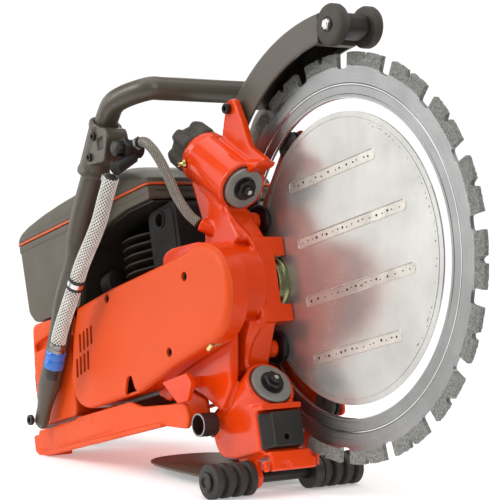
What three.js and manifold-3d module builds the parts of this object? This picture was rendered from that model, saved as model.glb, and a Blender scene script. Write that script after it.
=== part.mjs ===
// A petrol ring saw for concrete, as an assembly of separate named parts.
// Millimetres. Inside the saw group x points forward, y to the operator's left and z up, from the
// centre of the ring blade. The group then tilts nose-up, as the saw stands on its rollers and base.

import * as THREE from 'three';
import { mergeVertices } from 'three/addons/utils/BufferGeometryUtils.js';
import Module from 'manifold-3d';

const wasm = await Module();
wasm.setup();

// Driving dimensions
const TILT = THREE.MathUtils.degToRad(13.65);
const GAP = 0.3;

const RING = { outer: 185, core: 174, inner: 143.3, thick: 4, segmentThick: 5, segments: 18, span: 15.4, phase: 7.2 };
const DISC = { radius: 132, y0: 0.2, y1: 2 };
const DRIVE = { radius: 26, flange: 28.5, half: 10.3, shaft: 8 };
const DRIVE_X = DRIVE.radius - RING.inner;
const ROLLER = { radius: 11.9, lip: 16, at: 131, angle: 152, pin: 4 };
const SUPPORT = { radius: 14, at: 138, angle: 118, y0: 2.6, y1: 11.5 };

const ARM = { y: -35, radius: 25, wall: 4, nearX: -92, nearZ: 89, farX: -148, farZ: 134 };
const LOWER_ARM = { nearX: -92, nearZ: -98.5, farX: -160, farZ: -131 };
const KNOB = { radius: 25, lobe: 2.5, depth: 29 };
const DRUM = { radius: 40, bore: 17, y0: -67.5, y1: -33 };
const NOSE = { front: -87, back: -152, inner: -136, half: 40.5, ringGap: 5 };

const GUARD = { half: 22, wall: 2.5, start: 123, end: 80 };
const GUARD_AXLE = { x: 55, z: 200, radius: 5 };
const GUARD_WHEEL = { radius: 19, thick: 11 };

const ENGINE = { x: -275, z: -28 };
const FINS = { radius: 49, y: -5, count: 9, first: 10, pitch: 8.8, thick: 2.4 };
const BUTTON = { x: -258, y: -20, z: 91.8, stem: 3 };
const PULLEY = { drive: 23.5, clutch: 19, flange: 4.5, y0: -85, y1: -72 };
const BELT_GUARD = { y0: -90, y1: -68, wall: 2.5, endX: -106, endZ: -9, endRadius: 47 };

const AXLE = { x: -117, z: -179.5, radius: 6 };
const FOOT_ROLLER = { radius: 16, groove: 12, ribs: 4 };

const HANDLE = { radius: 11.5, y: 95, barX: -160, barZ: 205 };
const VALVE = { x: -190, y: -90, z: 152 };
const HOSE = { supply: 7.5, branch: 4.7 };
const COVER = { half: 75 };
const TANK_HALF = 83;
const FILLER = { x: -430, y: 90, z: -8 };

// Materials
function finish(color, roughness, metalness = 0) {
  return new THREE.MeshStandardMaterial({ color, roughness, metalness });
}

const ORANGE = finish(0xe03408, 0.25);
const SATIN_ORANGE = finish(0xee5a28, 0.4);
const GREY = finish(0x5f594e, 0.5);
const BLACK = finish(0x2b2723, 0.5);
const RUBBER = finish(0x34302b, 0.8);
const STEEL = finish(0x9a9a98, 0.35, 1);
const STAINLESS = finish(0xd6d6d2, 0.2, 1);
const SEGMENT_STEEL = finish(0x84847f, 0.6, 0.8);
const ALUMINIUM = finish(0xb4b4b0, 0.4, 1);
const BLUE = finish(0x2a6ec2, 0.3);
const CLEAR_HOSE = finish(0xb9b5a6, 0.3);

// Basic shapes
const at = (x, y, z) => new THREE.Vector3(x, y, z);
const rad = THREE.MathUtils.degToRad;
const polar = (radius, degrees) => [radius * Math.cos(rad(degrees)), radius * Math.sin(rad(degrees))];

function solid(geometry) {
  const bare = geometry.clone();
  bare.deleteAttribute('normal');
  bare.deleteAttribute('uv');
  const merged = mergeVertices(bare, 1e-4);
  const mesh = new wasm.Mesh({
    numProp: 3,
    vertProperties: new Float32Array(merged.attributes.position.array),
    triVerts: new Uint32Array(merged.index.array),
  });
  return new wasm.Manifold(mesh);
}

const join = (...solids) => solids.reduce((sum, next) => sum.add(next));
const cut = (base, ...tools) => tools.reduce((rest, tool) => rest.subtract(tool), base);

function box(x0, x1, y0, y1, z0, z1) {
  const geometry = new THREE.BoxGeometry(x1 - x0, y1 - y0, z1 - z0);
  geometry.translate((x0 + x1) / 2, (y0 + y1) / 2, (z0 + z1) / 2);
  return solid(geometry);
}

// A straight round bar between two points.
function rod(from, to, radius, sides = 12) {
  const geometry = new THREE.CylinderGeometry(radius, radius, from.distanceTo(to), sides);
  const direction = to.clone().sub(from).normalize();
  geometry.applyQuaternion(new THREE.Quaternion().setFromUnitVectors(at(0, 1, 0), direction));
  geometry.translate((from.x + to.x) / 2, (from.y + to.y) / 2, (from.z + to.z) / 2);
  return solid(geometry);
}

// A bar along y.
function pin(x, z, y0, y1, radius, sides = 12) {
  return rod(at(x, y0, z), at(x, y1, z), radius, sides);
}

// A turned piece with its axis along y, from [radius, y] pairs that run upwards in y.
function turned(profile, x, z, sides = 16) {
  const points = profile.map(([radius, y]) => new THREE.Vector2(radius, y));
  const geometry = new THREE.LatheGeometry(points, sides);
  geometry.translate(x, 0, z);
  return solid(geometry);
}

// A turned piece along any direction, its profile measured from the point `base`.
function turnedAlong(profile, base, direction, sides = 14) {
  const points = profile.map(([radius, y]) => new THREE.Vector2(radius, y));
  const geometry = new THREE.LatheGeometry(points, sides);
  geometry.applyQuaternion(new THREE.Quaternion().setFromUnitVectors(at(0, 1, 0), direction));
  geometry.translate(base.x, base.y, base.z);
  return solid(geometry);
}

// A ring with a bore, as a lathe profile that closes on itself.
function sleeve(inner, outer, y0, y1) {
  return [[inner, y0], [outer, y0], [outer, y1], [inner, y1], [inner, y0]];
}

// An outline through [x, z] points, with each corner rounded by `fillet`.
function outline(points, fillet = 0) {
  const corners = points.map(([x, z]) => new THREE.Vector2(x, z));
  const shape = new THREE.Shape();
  corners.forEach((corner, i) => {
    const before = corners[(i + corners.length - 1) % corners.length];
    const after = corners[(i + 1) % corners.length];
    const reach = Math.min(fillet, corner.distanceTo(before) / 2.2, corner.distanceTo(after) / 2.2);
    const entry = corner.clone().add(before.clone().sub(corner).setLength(reach || 1e-6));
    const exit = corner.clone().add(after.clone().sub(corner).setLength(reach || 1e-6));
    if (!fillet) {
      if (i) shape.lineTo(corner.x, corner.y);
      else shape.moveTo(corner.x, corner.y);
      return;
    }
    if (i) shape.lineTo(entry.x, entry.y);
    else shape.moveTo(entry.x, entry.y);
    shape.quadraticCurveTo(corner.x, corner.y, exit.x, exit.y);
  });
  shape.closePath();
  return shape;
}

// A plate cut to a shape drawn in x and z, between two y planes.
function plate(shape, y0, y1, curveSegments = 2) {
  const geometry = new THREE.ExtrudeGeometry(shape, { depth: y1 - y0, bevelEnabled: false, curveSegments });
  geometry.rotateX(Math.PI / 2);
  geometry.translate(0, y1, 0);
  return solid(geometry);
}

function circle(x, z, radius) {
  const shape = new THREE.Shape();
  shape.absarc(x, z, radius, 0, 2 * Math.PI);
  return shape;
}

// A round tube or rod along a smooth route.
function swept(route, radius, sides, steps) {
  const section = new THREE.Shape();
  for (let i = 0; i < sides; i += 1) {
    const [x, y] = polar(radius, (i * 360) / sides);
    if (i) section.lineTo(x, y);
    else section.moveTo(x, y);
  }
  section.closePath();
  const extrudePath = new THREE.CatmullRomCurve3(route.map((p) => at(...p)), false, 'centripetal');
  return solid(new THREE.ExtrudeGeometry(section, { steps, extrudePath, bevelEnabled: false }));
}

// The region between two radii from one angle to another, about the ring's centre.
function sector(inner, outer, start, end, steps = 8) {
  const points = [];
  for (let i = 0; i <= steps; i += 1) {
    const angle = start + ((end - start) * i) / steps;
    points.push(polar(typeof outer === 'function' ? outer(angle) : outer, angle));
  }
  for (let i = steps; i >= 0; i -= 1) {
    const angle = start + ((end - start) * i) / steps;
    points.push(polar(typeof inner === 'function' ? inner(angle) : inner, angle));
  }
  return outline(points);
}

// The assembly
const saw = new THREE.Group();
saw.rotation.y = -TILT;

function add(name, body, material) {
  const { vertProperties, triVerts, numProp } = body.getMesh();
  const positions = new Float32Array((vertProperties.length / numProp) * 3);
  for (let i = 0; i < positions.length / 3; i += 1) {
    for (let k = 0; k < 3; k += 1) positions[i * 3 + k] = vertProperties[i * numProp + k];
  }
  const geometry = new THREE.BufferGeometry();
  geometry.setAttribute('position', new THREE.BufferAttribute(positions, 3));
  geometry.setIndex(new THREE.BufferAttribute(new Uint32Array(triVerts), 1));
  geometry.computeVertexNormals();
  const mesh = new THREE.Mesh(geometry, material);
  mesh.name = name;
  saw.add(mesh);
}

// Cutting ring: a flat steel ring with sintered segments on its rim.
function ringBlade() {
  const core = circle(0, 0, RING.core);
  core.holes.push(circle(0, 0, RING.inner));
  const half = RING.thick / 2;
  let blade = plate(core, -half, half, 48);
  for (let i = 0; i < RING.segments; i += 1) {
    const middle = (i * 360) / RING.segments + RING.phase;
    const shape = sector(RING.core - 2, RING.outer, middle - RING.span / 2, middle + RING.span / 2, 3);
    blade = blade.add(plate(shape, -RING.segmentThick / 2, RING.segmentThick / 2));
  }
  return blade;
}

// Fixed water disc: notched for the drive wheel and both guide rollers, with four shallow slots.
function centreDisc() {
  let disc = plate(circle(0, 0, DISC.radius), DISC.y0, DISC.y1, 40);
  const slots = [[81.3, -67, 61], [27.7, -66, 92], [-27.7, -66, 92], [-81.3, -67, 61]];
  const depth = 0.7;
  for (const [z, x0, x1] of slots) {
    const groove = outline([[x0, z - 5], [x1, z - 5], [x1, z + 5], [x0, z + 5]], 5);
    disc = disc.subtract(plate(groove, DISC.y0 - 1, DISC.y0 + depth));
  }
  for (const side of [1, -1]) {
    const [x, z] = polar(ROLLER.at, side * ROLLER.angle);
    disc = disc.subtract(pin(x, z, -4, 6, ROLLER.radius + 1.5, 16));
  }
  const wheelGap = DRIVE.flange + 1.5;
  disc = disc.subtract(pin(DRIVE_X, 0, -4, 6, wheelGap, 24));
  return disc.subtract(box(-RING.inner, DRIVE_X, -4, 6, -wheelGap, wheelGap));
}

// Drive wheel, its shaft and the belt pulley turn together.
function driveWheel() {
  const { radius, flange, half, shaft } = DRIVE;
  const groove = RING.thick / 2 + 0.5;
  const bore = shaft + GAP;
  const profile = [
    [bore, -half], [flange - 1, -half], [flange, -half + 1], [flange, -groove - 1],
    [radius - GAP, -groove], [radius - GAP, groove], [flange, groove + 1], [flange, half - 1],
    [flange - 1, half], [bore, half], [bore, -half],
  ];
  return turned(profile, DRIVE_X, 0, 20);
}

function beltPulley(x, z, radius, bore) {
  const { flange, y0, y1 } = PULLEY;
  const rim = radius + flange;
  const profile = [
    [bore, y0], [rim, y0], [rim, y0 + 1.5], [radius, y0 + 2], [radius, y1 - 2],
    [rim, y1 - 1.5], [rim, y1], [bore, y1], [bore, y0],
  ];
  return turned(profile, x, z, 16);
}

// The belt is a loop round two circles joined by their outer tangents.
function beltShape(offset) {
  const radiusA = PULLEY.drive + offset;
  const radiusB = PULLEY.clutch + offset;
  const dx = ENGINE.x - DRIVE_X;
  const dz = ENGINE.z;
  const heading = Math.atan2(dz, dx);
  const lean = Math.acos((radiusA - radiusB) / Math.hypot(dx, dz));
  const shape = new THREE.Shape();
  shape.absarc(DRIVE_X, 0, radiusA, heading + lean, heading - lean + 2 * Math.PI);
  shape.absarc(ENGINE.x, ENGINE.z, radiusB, heading - lean, heading + lean);
  shape.closePath();
  return shape;
}

function driveBelt() {
  const thickness = 3.6;
  const margin = 2.4;
  const shape = beltShape(GAP + thickness);
  shape.holes.push(beltShape(GAP));
  return plate(shape, PULLEY.y0 + margin, PULLEY.y1 - margin, 9);
}

// Guide rollers run on the ring's inner edge, their lips in front of it.
function guideRoller(side) {
  const { radius, lip, at: distance, angle, pin: axle } = ROLLER;
  const [x, z] = polar(distance, side * angle);
  const bore = axle + GAP;
  const profile = [
    [bore, -7], [lip - 1.5, -7], [lip, -6], [lip, -2.6], [radius, -2.4], [radius, 2.3],
    [bore, 2.3], [bore, -7],
  ];
  return turned(profile, x, z, 14);
}

// Support rollers press on the ring's far face.
function supportRoller(side) {
  const { radius, at: distance, angle, y0, y1 } = SUPPORT;
  const [x, z] = polar(distance, side * angle);
  const bore = ROLLER.pin + GAP;
  const waist = radius - 3;
  const profile = [
    [bore, y0], [radius - 1, y0], [radius, y0 + 1], [radius, y0 + 3], [waist, y0 + 4],
    [waist, y1 - 3], [radius, y1 - 2], [radius, y1], [bore, y1], [bore, y0],
  ];
  return turned(profile, x, z, 14);
}

// The two ends of a roller cylinder's axis, its open front end first.
const frontOf = ({ nearX, nearZ }) => at(nearX, ARM.y, nearZ);
const rearOf = ({ farX, farZ }) => at(farX, ARM.y, farZ);

function armDirection(arm) {
  return rearOf(arm).sub(frontOf(arm)).normalize();
}

const armLength = (arm) => frontOf(arm).distanceTo(rearOf(arm));

// The bore for the spring and cap, from just outside the front end to the rear wall.
function armBore(arm) {
  const mouth = frontOf(arm).addScaledVector(armDirection(arm), -3);
  const end = mouth.clone().addScaledVector(armDirection(arm), armLength(arm) - 11);
  return rod(mouth, end, ARM.radius - ARM.wall, 16);
}

// Main orange casting: bearing drum, nose, both roller cylinders, webs, lugs and the roller shelf.
function armCasting() {
  const upperWeb = outline([[-156, 112], [-108, 72], [-96, 38], [-150, 30], [-143, 60]], 8);
  const lowerWeb = outline([[-170, -108], [-112, -80], [-96, -38], [-150, -30], [-160, -60]], 8);
  const guardLug = outline([[-128, 126], [-119, 143], [-103, 176], [-91, 176], [-82, 149], [-76, 124],
    [-54, 106], [-60, 101], [-99, 100]], 3);
  const rearPlate = outline([[-150, 34], [-222, 24], [-228, -62], [-238, -84], [-219, -94], [-192, -80],
    [-160, -96], [-132, -116], [-112, -96], [-96, -36]], 5);
  const block = outline([[-146, -104], [-164, -138], [-155, -156], [-132, -160], [-89, -160],
    [-89, -118]], 6);
  const lowerLug = outline([[-189, -78], [-167, -101], [-149, -101], [-139, -86], [-146, -76]], 3);
  let casting = join(
    pin(DRIVE_X, 0, DRUM.y0, DRUM.y1 + 1, DRUM.radius, 24),
    box(NOSE.back, NOSE.front, DRUM.y1, -NOSE.ringGap, -NOSE.half, NOSE.half),
    box(NOSE.inner, NOSE.front, -NOSE.ringGap - 1, -0.4, -NOSE.half, NOSE.half),
    rod(frontOf(ARM), rearOf(ARM), ARM.radius, 20),
    rod(frontOf(LOWER_ARM), rearOf(LOWER_ARM), ARM.radius, 20),
    plate(upperWeb, -50, -20),
    plate(lowerWeb, -50, -20),
    plate(guardLug, -33, -24.5),
    plate(rearPlate, -66, -56),
    plate(block, -58, -14),
    rod(at(-131, -46, 56), at(-138.5, -57, 64.5), 6, 10),
    plate(lowerLug, -90, -85.4),
    box(-176, -158, -86, -58, -88, -78),
    box(-132, -80, -54.5, -8, -164, -160),
    box(-84, -80, -62, -4, -178, -168),
    box(-84, -80, -54.5, -8, -177, -160),
    box(-92, -78, -58, -13, -122.5, -117),
    pin(AXLE.x, AXLE.z, -53, -46, 12, 18),
    box(-129, -105, -53, -46, -180, -160),
  );
  for (const side of [1, -1]) {
    const [x, z] = polar(ROLLER.at, side * ROLLER.angle);
    casting = casting.add(pin(x, z, -21, 3.5, ROLLER.pin, 12));
    casting = casting.add(pin(x, z, -21, -8, 9, 14));
  }
  casting = casting.add(rod(at(-140, -46, 126), at(-144.5, -59, 126), 6, 14));
  casting = casting.add(rod(at(-154, -46, -131), at(-159, -59, -132), 6, 14));
  const through = armDirection(ARM);
  return cut(
    casting,
    armBore(ARM),
    armBore(LOWER_ARM),
    rod(rearOf(ARM).addScaledVector(through, -30), rearOf(ARM).addScaledVector(through, 4), 7, 14),
    pin(DRIVE_X, 0, DRUM.y0 - 1, 0, DRUM.bore, 16),
    pin(DRIVE_X, 0, -12.5, 2, DRIVE.flange + 1.6, 20),
    box(NOSE.front - 12, NOSE.front + 2, -12, 2, -25, 23),
    pin(AXLE.x, AXLE.z, -60, -40, AXLE.radius + GAP, 14),
    box(-112, -104, -60, -20, -170, -155.5),
  );
}

// Far-side casting that carries both support rollers and the far end of the roller axle.
function farCarrier() {
  const [tipX, tipZ] = polar(SUPPORT.at, SUPPORT.angle);
  const side = outline([[-226, 40], [-150, 62], [tipX - 14, tipZ + 12], [tipX + 14, tipZ + 14],
    [tipX + 14, tipZ - 12], [-118, 40], [-112, 0], [-118, -40], [tipX + 14, 12 - tipZ],
    [tipX + 14, -14 - tipZ], [tipX - 14, -12 - tipZ], [-96, -150], [AXLE.x + 14, AXLE.z - 2],
    [AXLE.x - 14, AXLE.z - 2], [-150, -130], [-226, -60]], 7);
  let carrier = plate(side, 12, 18);
  carrier = carrier.add(pin(AXLE.x, AXLE.z, 12, 18, 14, 20));
  for (const sign of [1, -1]) {
    const [x, z] = polar(SUPPORT.at, sign * SUPPORT.angle);
    carrier = carrier.add(pin(x, z, 3, 13, ROLLER.pin, 12));
  }
  return carrier.subtract(pin(AXLE.x, AXLE.z, 10, 20, AXLE.radius + GAP, 14));
}

// Cap disc, nut and stud that close one roller cylinder.
function cylinderCap(arm) {
  const inward = armDirection(arm);
  const rim = ARM.radius - ARM.wall - 0.7;
  const disc = turnedAlong([[0, -3], [rim, -3], [rim, 3], [0, 3]], frontOf(arm), inward, 16);
  const nut = turnedAlong([[0, -12], [9.5, -12], [9.5, -2], [0, -2]], frontOf(arm), inward, 6);
  const stud = turnedAlong([[0, -16], [5, -16], [5, -2], [0, -2]], frontOf(arm), inward, 12);
  return join(disc, nut, stud);
}

// Compression spring inside a roller cylinder, as a thin-walled sleeve of its outer size.
function tensionSpring(arm) {
  const inward = armDirection(arm);
  const seat = frontOf(arm).addScaledVector(inward, 6);
  return turnedAlong(sleeve(12, 17, 0, armLength(arm) - 26), seat, inward, 16);
}

// Six-lobed knob with a stem that reaches into the upper cylinder.
function tensionKnob() {
  const outward = armDirection(ARM);
  const base = rearOf(ARM).addScaledVector(outward, 1);
  const lobes = [];
  for (let i = 0; i < 36; i += 1) {
    const angle = i * 10;
    lobes.push(polar(KNOB.radius + KNOB.lobe * Math.cos(rad(6 * angle)), angle));
  }
  const grip = new THREE.ExtrudeGeometry(outline(lobes), { depth: KNOB.depth, bevelEnabled: false });
  grip.applyQuaternion(new THREE.Quaternion().setFromUnitVectors(at(0, 0, 1), outward));
  grip.translate(base.x, base.y, base.z);
  return join(solid(grip), turnedAlong([[0, -16], [6, -16], [6, 1], [0, 1]], base, outward, 16));
}

// Blade guard: a channel over the top of the ring that deepens towards its mounting.
const guardOuter = (angle) => 209 + ((117 - angle) * 11) / 35;
const guardInner = (angle) => 174 + ((121 - angle) * 19) / 42;

function bladeGuard() {
  const { half, wall, start, end } = GUARD;
  const shell = plate(sector(guardInner, guardOuter, start, end, 12), -half, half);
  const skin = (angle) => guardOuter(angle) - wall;
  const below = (angle) => guardInner(angle) - 6;
  const hollow = plate(sector(below, skin, start + 2, end + 1, 12), -half + wall, half - wall);
  const { x, z, radius } = GUARD_AXLE;
  const tongue = outline([polar(203, 86), polar(219, 86), [x - 6, z + 14], [x + 12, z + 8],
    [x + 13, z - 9], [x - 2, z - 13]], 6);
  const body = join(shell.subtract(hollow), plate(tongue, -11.5, 11.5));
  return body.subtract(pin(x, z, -30, 30, radius + GAP, 20));
}

function guardAxle() {
  const { x, z, radius } = GUARD_AXLE;
  const end = 26.5;
  const profile = [
    [0, -end - 2.5], [8, -end - 2.5], [8, -end], [radius, -end], [radius, end], [8, end],
    [8, end + 2.5], [0, end + 2.5],
  ];
  return turned(profile, x, z, 20);
}

function guardWheel(side) {
  const { x, z, radius: axle } = GUARD_AXLE;
  const { radius, thick } = GUARD_WHEEL;
  const inner = side > 0 ? 14 : -14 - thick;
  const outer = inner + thick;
  const bore = axle + GAP;
  const profile = [
    [bore, inner], [radius - 2, inner], [radius, inner + 2], [radius, outer - 2],
    [radius - 2, outer], [bore, outer], [bore, inner],
  ];
  return turned(profile, x, z, 18);
}

// Ribbed roller under the nose.
function footRoller(y0, y1) {
  const { radius, groove, ribs } = FOOT_ROLLER;
  const bore = AXLE.radius + GAP;
  const pitch = (y1 - y0) / (ribs - 0.4);
  const profile = [[bore, y0]];
  for (let i = 0; i < ribs; i += 1) {
    const start = y0 + i * pitch;
    if (i) profile.push([groove, start]);
    profile.push([radius, start]);
    profile.push([radius, Math.min(start + pitch * 0.6, y1)]);
    if (i < ribs - 1) profile.push([groove, start + pitch * 0.6]);
  }
  profile.push([bore, y1], [bore, y0]);
  return turned(profile, AXLE.x, AXLE.z, 14);
}

function rollerAxle() {
  const { x, z, radius } = AXLE;
  const profile = [
    [0, -104.5], [9, -104.5], [9, -102], [radius, -102], [radius, 69], [9, 69], [9, 71.5], [0, 71.5],
  ];
  return turned(profile, x, z, 20);
}

// Leaf behind the rollers that keeps slurry off the ground plate, level with the ground.
function splashFlap() {
  const height = (x) => -213.5 - x * Math.tan(TILT);
  const front = -141;
  const rear = -322;
  const thick = 3;
  const strip = outline([[front, height(front)], [rear, height(rear)],
    [rear, height(rear) - thick], [front, height(front) - thick]]);
  const trim = new THREE.Shape();
  trim.moveTo(-130, -66);
  trim.lineTo(-236, -66);
  trim.quadraticCurveTo(-290, -64, -308, -30);
  trim.quadraticCurveTo(-326, 10, -300, 36);
  trim.quadraticCurveTo(-280, 50, -236, 46);
  trim.lineTo(-130, 42);
  trim.closePath();
  const column = new THREE.ExtrudeGeometry(trim, { depth: 120, bevelEnabled: false, curveSegments: 5 });
  column.translate(0, 0, -230);
  const tab = outline([[-166, -174], [-148, -179.2], [-144, -161], [-158, -158]]);
  return join(plate(strip, -80, 60).intersect(solid(column)), plate(tab, -50, -30));
}

function lowerPad() {
  const face = outline([[-88.7, -158], [-88.7, -125], [-80, -124], [-78, -156]], 3);
  const hole = rod(at(-90, -34, -148), at(-70, -34, -148), 2.6, 12);
  return plate(face, -57, -14).subtract(hole);
}

// Belt guard: a shallow shell, open on its inner side.
function beltGuardShape(offset) {
  const { endX, endZ, endRadius } = BELT_GUARD;
  const radius = endRadius - offset;
  const shape = new THREE.Shape();
  shape.moveTo(-337 + offset, 23 - offset);
  shape.lineTo(-264, 29 - offset);
  shape.lineTo(-168, 32 - offset);
  shape.absarc(endX, endZ, radius, rad(112), rad(-92), true);
  shape.lineTo(-168, -66 + offset);
  shape.lineTo(-232, -80 + offset);
  shape.lineTo(-330, -82 + offset);
  shape.quadraticCurveTo(-366 + offset, -80 + offset, -366 + offset, -47);
  shape.lineTo(-352 + offset, -7);
  shape.closePath();
  return shape;
}

function beltGuard() {
  const { y0, y1, wall } = BELT_GUARD;
  const shell = cut(
    plate(beltGuardShape(0), y0, y1, 10),
    plate(beltGuardShape(wall), y0 + wall, y1 + 1, 10),
  );
  const vents = [];
  for (let row = 0; row < 2; row += 1) {
    for (let i = 0; i < 4; i += 1) {
      const x = -346 + row * 12 + i * 8;
      const z = -38 + row * 24 + i * 1.5;
      const slot = outline([[x - 6, z - 9], [x - 2.5, z - 9], [x + 1.5, z + 9], [x - 2, z + 9]]);
      vents.push(plate(slot, y0 - 1, y0 + wall + 1));
    }
  }
  return cut(shell, ...vents);
}

// Engine
function crankcase() {
  const shell = outline([[-342, -84], [-342, 2], [-228, 2], [-228, -84]], 14);
  const body = plate(shell, -55, 45);
  return body.subtract(pin(ENGINE.x, ENGINE.z, -60, 50, 11.3, 24));
}

function crankshaft() {
  const profile = [[0, -87], [8, -87], [8, -54], [11, -54], [11, 44], [8, 44], [8, 66], [0, 66]];
  return turned(profile, ENGINE.x, ENGINE.z, 24);
}

function clutchPulley() {
  const bore = 8.3;
  return beltPulley(ENGINE.x, ENGINE.z, PULLEY.clutch, bore);
}

function flywheel() {
  const fins = [];
  for (let i = 0; i < 8; i += 1) {
    const fin = new THREE.BoxGeometry(16, 5, 3);
    fin.translate(34, 56.5, 0);
    fin.rotateY((i * Math.PI) / 4);
    fin.translate(ENGINE.x, 0, ENGINE.z);
    fins.push(solid(fin));
  }
  return join(turned(sleeve(8.3, 46, 48, 55), ENGINE.x, ENGINE.z, 18), ...fins);
}

function cylinder() {
  const axis = at(ENGINE.x, FINS.y, 0);
  const core = turnedAlong([[0, 2.5], [27, 2.5], [27, 88], [0, 88]], axis, at(0, 0, 1), 14);
  const fins = [];
  for (let i = 0; i < FINS.count; i += 1) {
    const z = FINS.first + i * FINS.pitch;
    fins.push(rod(at(axis.x, axis.y, z), at(axis.x, axis.y, z + FINS.thick), FINS.radius, 24));
  }
  const bore = rod(at(BUTTON.x, BUTTON.y, 73), at(BUTTON.x, BUTTON.y, 90), BUTTON.stem + GAP, 12);
  return join(core, ...fins).subtract(bore);
}

// Muffler box with a wider shield on its outer side.
function muffler() {
  const shell = outline([[-219, 40], [-219, 98], [-178, 98], [-178, 40]], 6);
  const shield = outline([[-228, 34], [-228, 95], [-176, 99], [-176, 34]], 6);
  const outlet = rod(at(-204, -64, 84), at(-204, -48, 84), 7, 14);
  return join(plate(shell, -54, -14), plate(shield, -59, -53.5)).subtract(outlet);
}

function coverSection(points, y, fillet) {
  return plate(outline(points, fillet), -y, y);
}

// Upper lid of the filter housing: a shell, open underneath.
function filterCover() {
  const top = [[-474, 121], [-466, 129], [-416, 143], [-335, 150], [-246, 149], [-193, 121]];
  const inside = [[-470, 118], [-462, 127], [-415, 139], [-335, 146], [-247, 145], [-198, 118]];
  return coverSection(top, COVER.half, 5).subtract(coverSection(inside, COVER.half - 4, 4));
}

function coverSeam() {
  const band = [[-475, 117.3], [-475, 120.7], [-192, 120.7], [-192, 117.3]];
  const inside = [[-470, 110], [-470, 126], [-198, 126], [-198, 110]];
  return coverSection(band, COVER.half + 1, 0).subtract(coverSection(inside, COVER.half - 4, 0));
}

// Lower housing: open above the engine, with an arch on both sides over the fins.
function coverLower() {
  const side = [[-472, 117], [-470, 42], [-456, 29], [-352, 27], [-342, 60], [-328, 84], [-290, 96.5],
    [-240, 103.5], [-193, 103.5], [-193, 117]];
  const inside = [[-466, 130], [-466, 44], [-452, 33], [-354, 31], [-346, 62], [-331, 88],
    [-291, 100.5], [-241, 107.5], [-198, 107.5], [-198, 130]];
  return coverSection(side, COVER.half, 3).subtract(coverSection(inside, COVER.half - 4, 3));
}

function airFilter() {
  return plate(outline([[-455, 50], [-455, 110], [-365, 110], [-365, 50]], 8), -60, 60);
}

function intakeBellows() {
  const profile = [[0, 0]];
  for (let i = 0; i < 3; i += 1) profile.push([14, i * 5.5], [14, i * 5.5 + 2], [11, i * 5.5 + 3.5]);
  profile.push([11, 16.5], [0, 16.5]);
  return turnedAlong(profile, at(-338.5, -42, 46), at(1, 0, 0), 14);
}

function tankHousing() {
  const side = outline([[-456, -84], [-457, -33], [-449, 26], [-381, 24], [-370, -8], [-372, -84]], 8);
  const filler = rod(at(FILLER.x, 80, FILLER.z), at(FILLER.x, FILLER.y, FILLER.z), 17, 24);
  const tank = join(plate(side, -TANK_HALF, TANK_HALF), filler);
  const neck = rod(at(FILLER.x, 70, FILLER.z), at(FILLER.x, 100, FILLER.z), 12, 18);
  const bridge = box(-374, -346, -50, 50, -84, -10);
  return cut(join(tank, bridge), neck);
}

function fuelCap() {
  const profile = [[0, -10], [11, -10], [11, 0], [19, 0], [19, 8], [17, 10], [0, 10]];
  return turnedAlong(profile, at(FILLER.x, FILLER.y + GAP, FILLER.z), at(0, 1, 0), 12);
}

// Base: a side frame with a flange and foot, and a floor that rises towards the far side.
function basePlate() {
  const side = outline([[-456, -90.6], [-456, -113], [-440, -116.4], [-204, -118], [-165, -126],
    [-159, -118], [-162, -102], [-240, -94], [-262, -86], [-371, -86], [-371, -90.6]], 3);
  const foot = outline([[-470, -92], [-470, -110.2], [-438, -118], [-438, -92]]);
  const rise = new THREE.Shape([[-80.5, -113], [-80.5, -115.5], [20, -96], [60, -89.5], [60, -86.5], [20, -93]]
    .map(([y, z]) => new THREE.Vector2(y, z)));
  const floor = new THREE.ExtrudeGeometry(rise, { depth: 200, bevelEnabled: false });
  floor.applyMatrix4(new THREE.Matrix4().makeBasis(at(0, 1, 0), at(0, 0, 1), at(1, 0, 0)));
  floor.translate(-440, 0, 0);
  const web = outline([[-262, -96], [-205, -96], [-190, -93.5], [-176, -90.5], [-162, -97.5], [-158, -100],
    [-158, -127], [-204, -118], [-262, -112]]);
  return join(plate(side, -85, -80), plate(foot, -84, -56), plate(web, -66, -60), solid(floor));
}

// Starter on the far side.
function starterCover() {
  const profile = [
    [53.5, 46], [57, 46], [57, 68], [50, 82], [14, 82], [14, 79], [48, 79], [53.5, 67], [53.5, 46],
  ];
  const ropeHole = rod(
    PULL_START.clone().addScaledVector(PULL, 20),
    PULL_START.clone().addScaledVector(PULL, 60),
    4,
    12,
  );
  return turned(profile, ENGINE.x, ENGINE.z, 20).subtract(ropeHole);
}

const PULL = at(0.8, 0, 0.6);
const REEL_RADIUS = 30;
const PULL_START = at(ENGINE.x - PULL.z * REEL_RADIUS, 65, ENGINE.z + PULL.x * REEL_RADIUS);

function starterReel() {
  const profile = [
    [8.3, 60], [REEL_RADIUS + 3, 60], [REEL_RADIUS + 3, 61.5], [REEL_RADIUS - 3, 62.5],
    [REEL_RADIUS - 3, 67.5], [REEL_RADIUS + 3, 68.5], [REEL_RADIUS + 3, 70], [8.3, 70], [8.3, 60],
  ];
  return turned(profile, ENGINE.x, ENGINE.z, 16);
}

function starterRope() {
  const end = PULL_START.clone().addScaledVector(PULL, 62);
  return rod(PULL_START, end, 1.8, 10);
}

function starterGrip() {
  const seat = PULL_START.clone().addScaledVector(PULL, 62.5);
  const stem = turnedAlong([[0, 0], [7, 0], [6, 10], [0, 10]], seat, PULL, 16);
  const centre = seat.clone().addScaledVector(PULL, 14);
  const across = at(PULL.z, 0, -PULL.x);
  const bar = rod(
    centre.clone().addScaledVector(across, -26),
    centre.clone().addScaledVector(across, 26),
    7.5,
    16,
  );
  return join(stem, bar);
}

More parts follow.
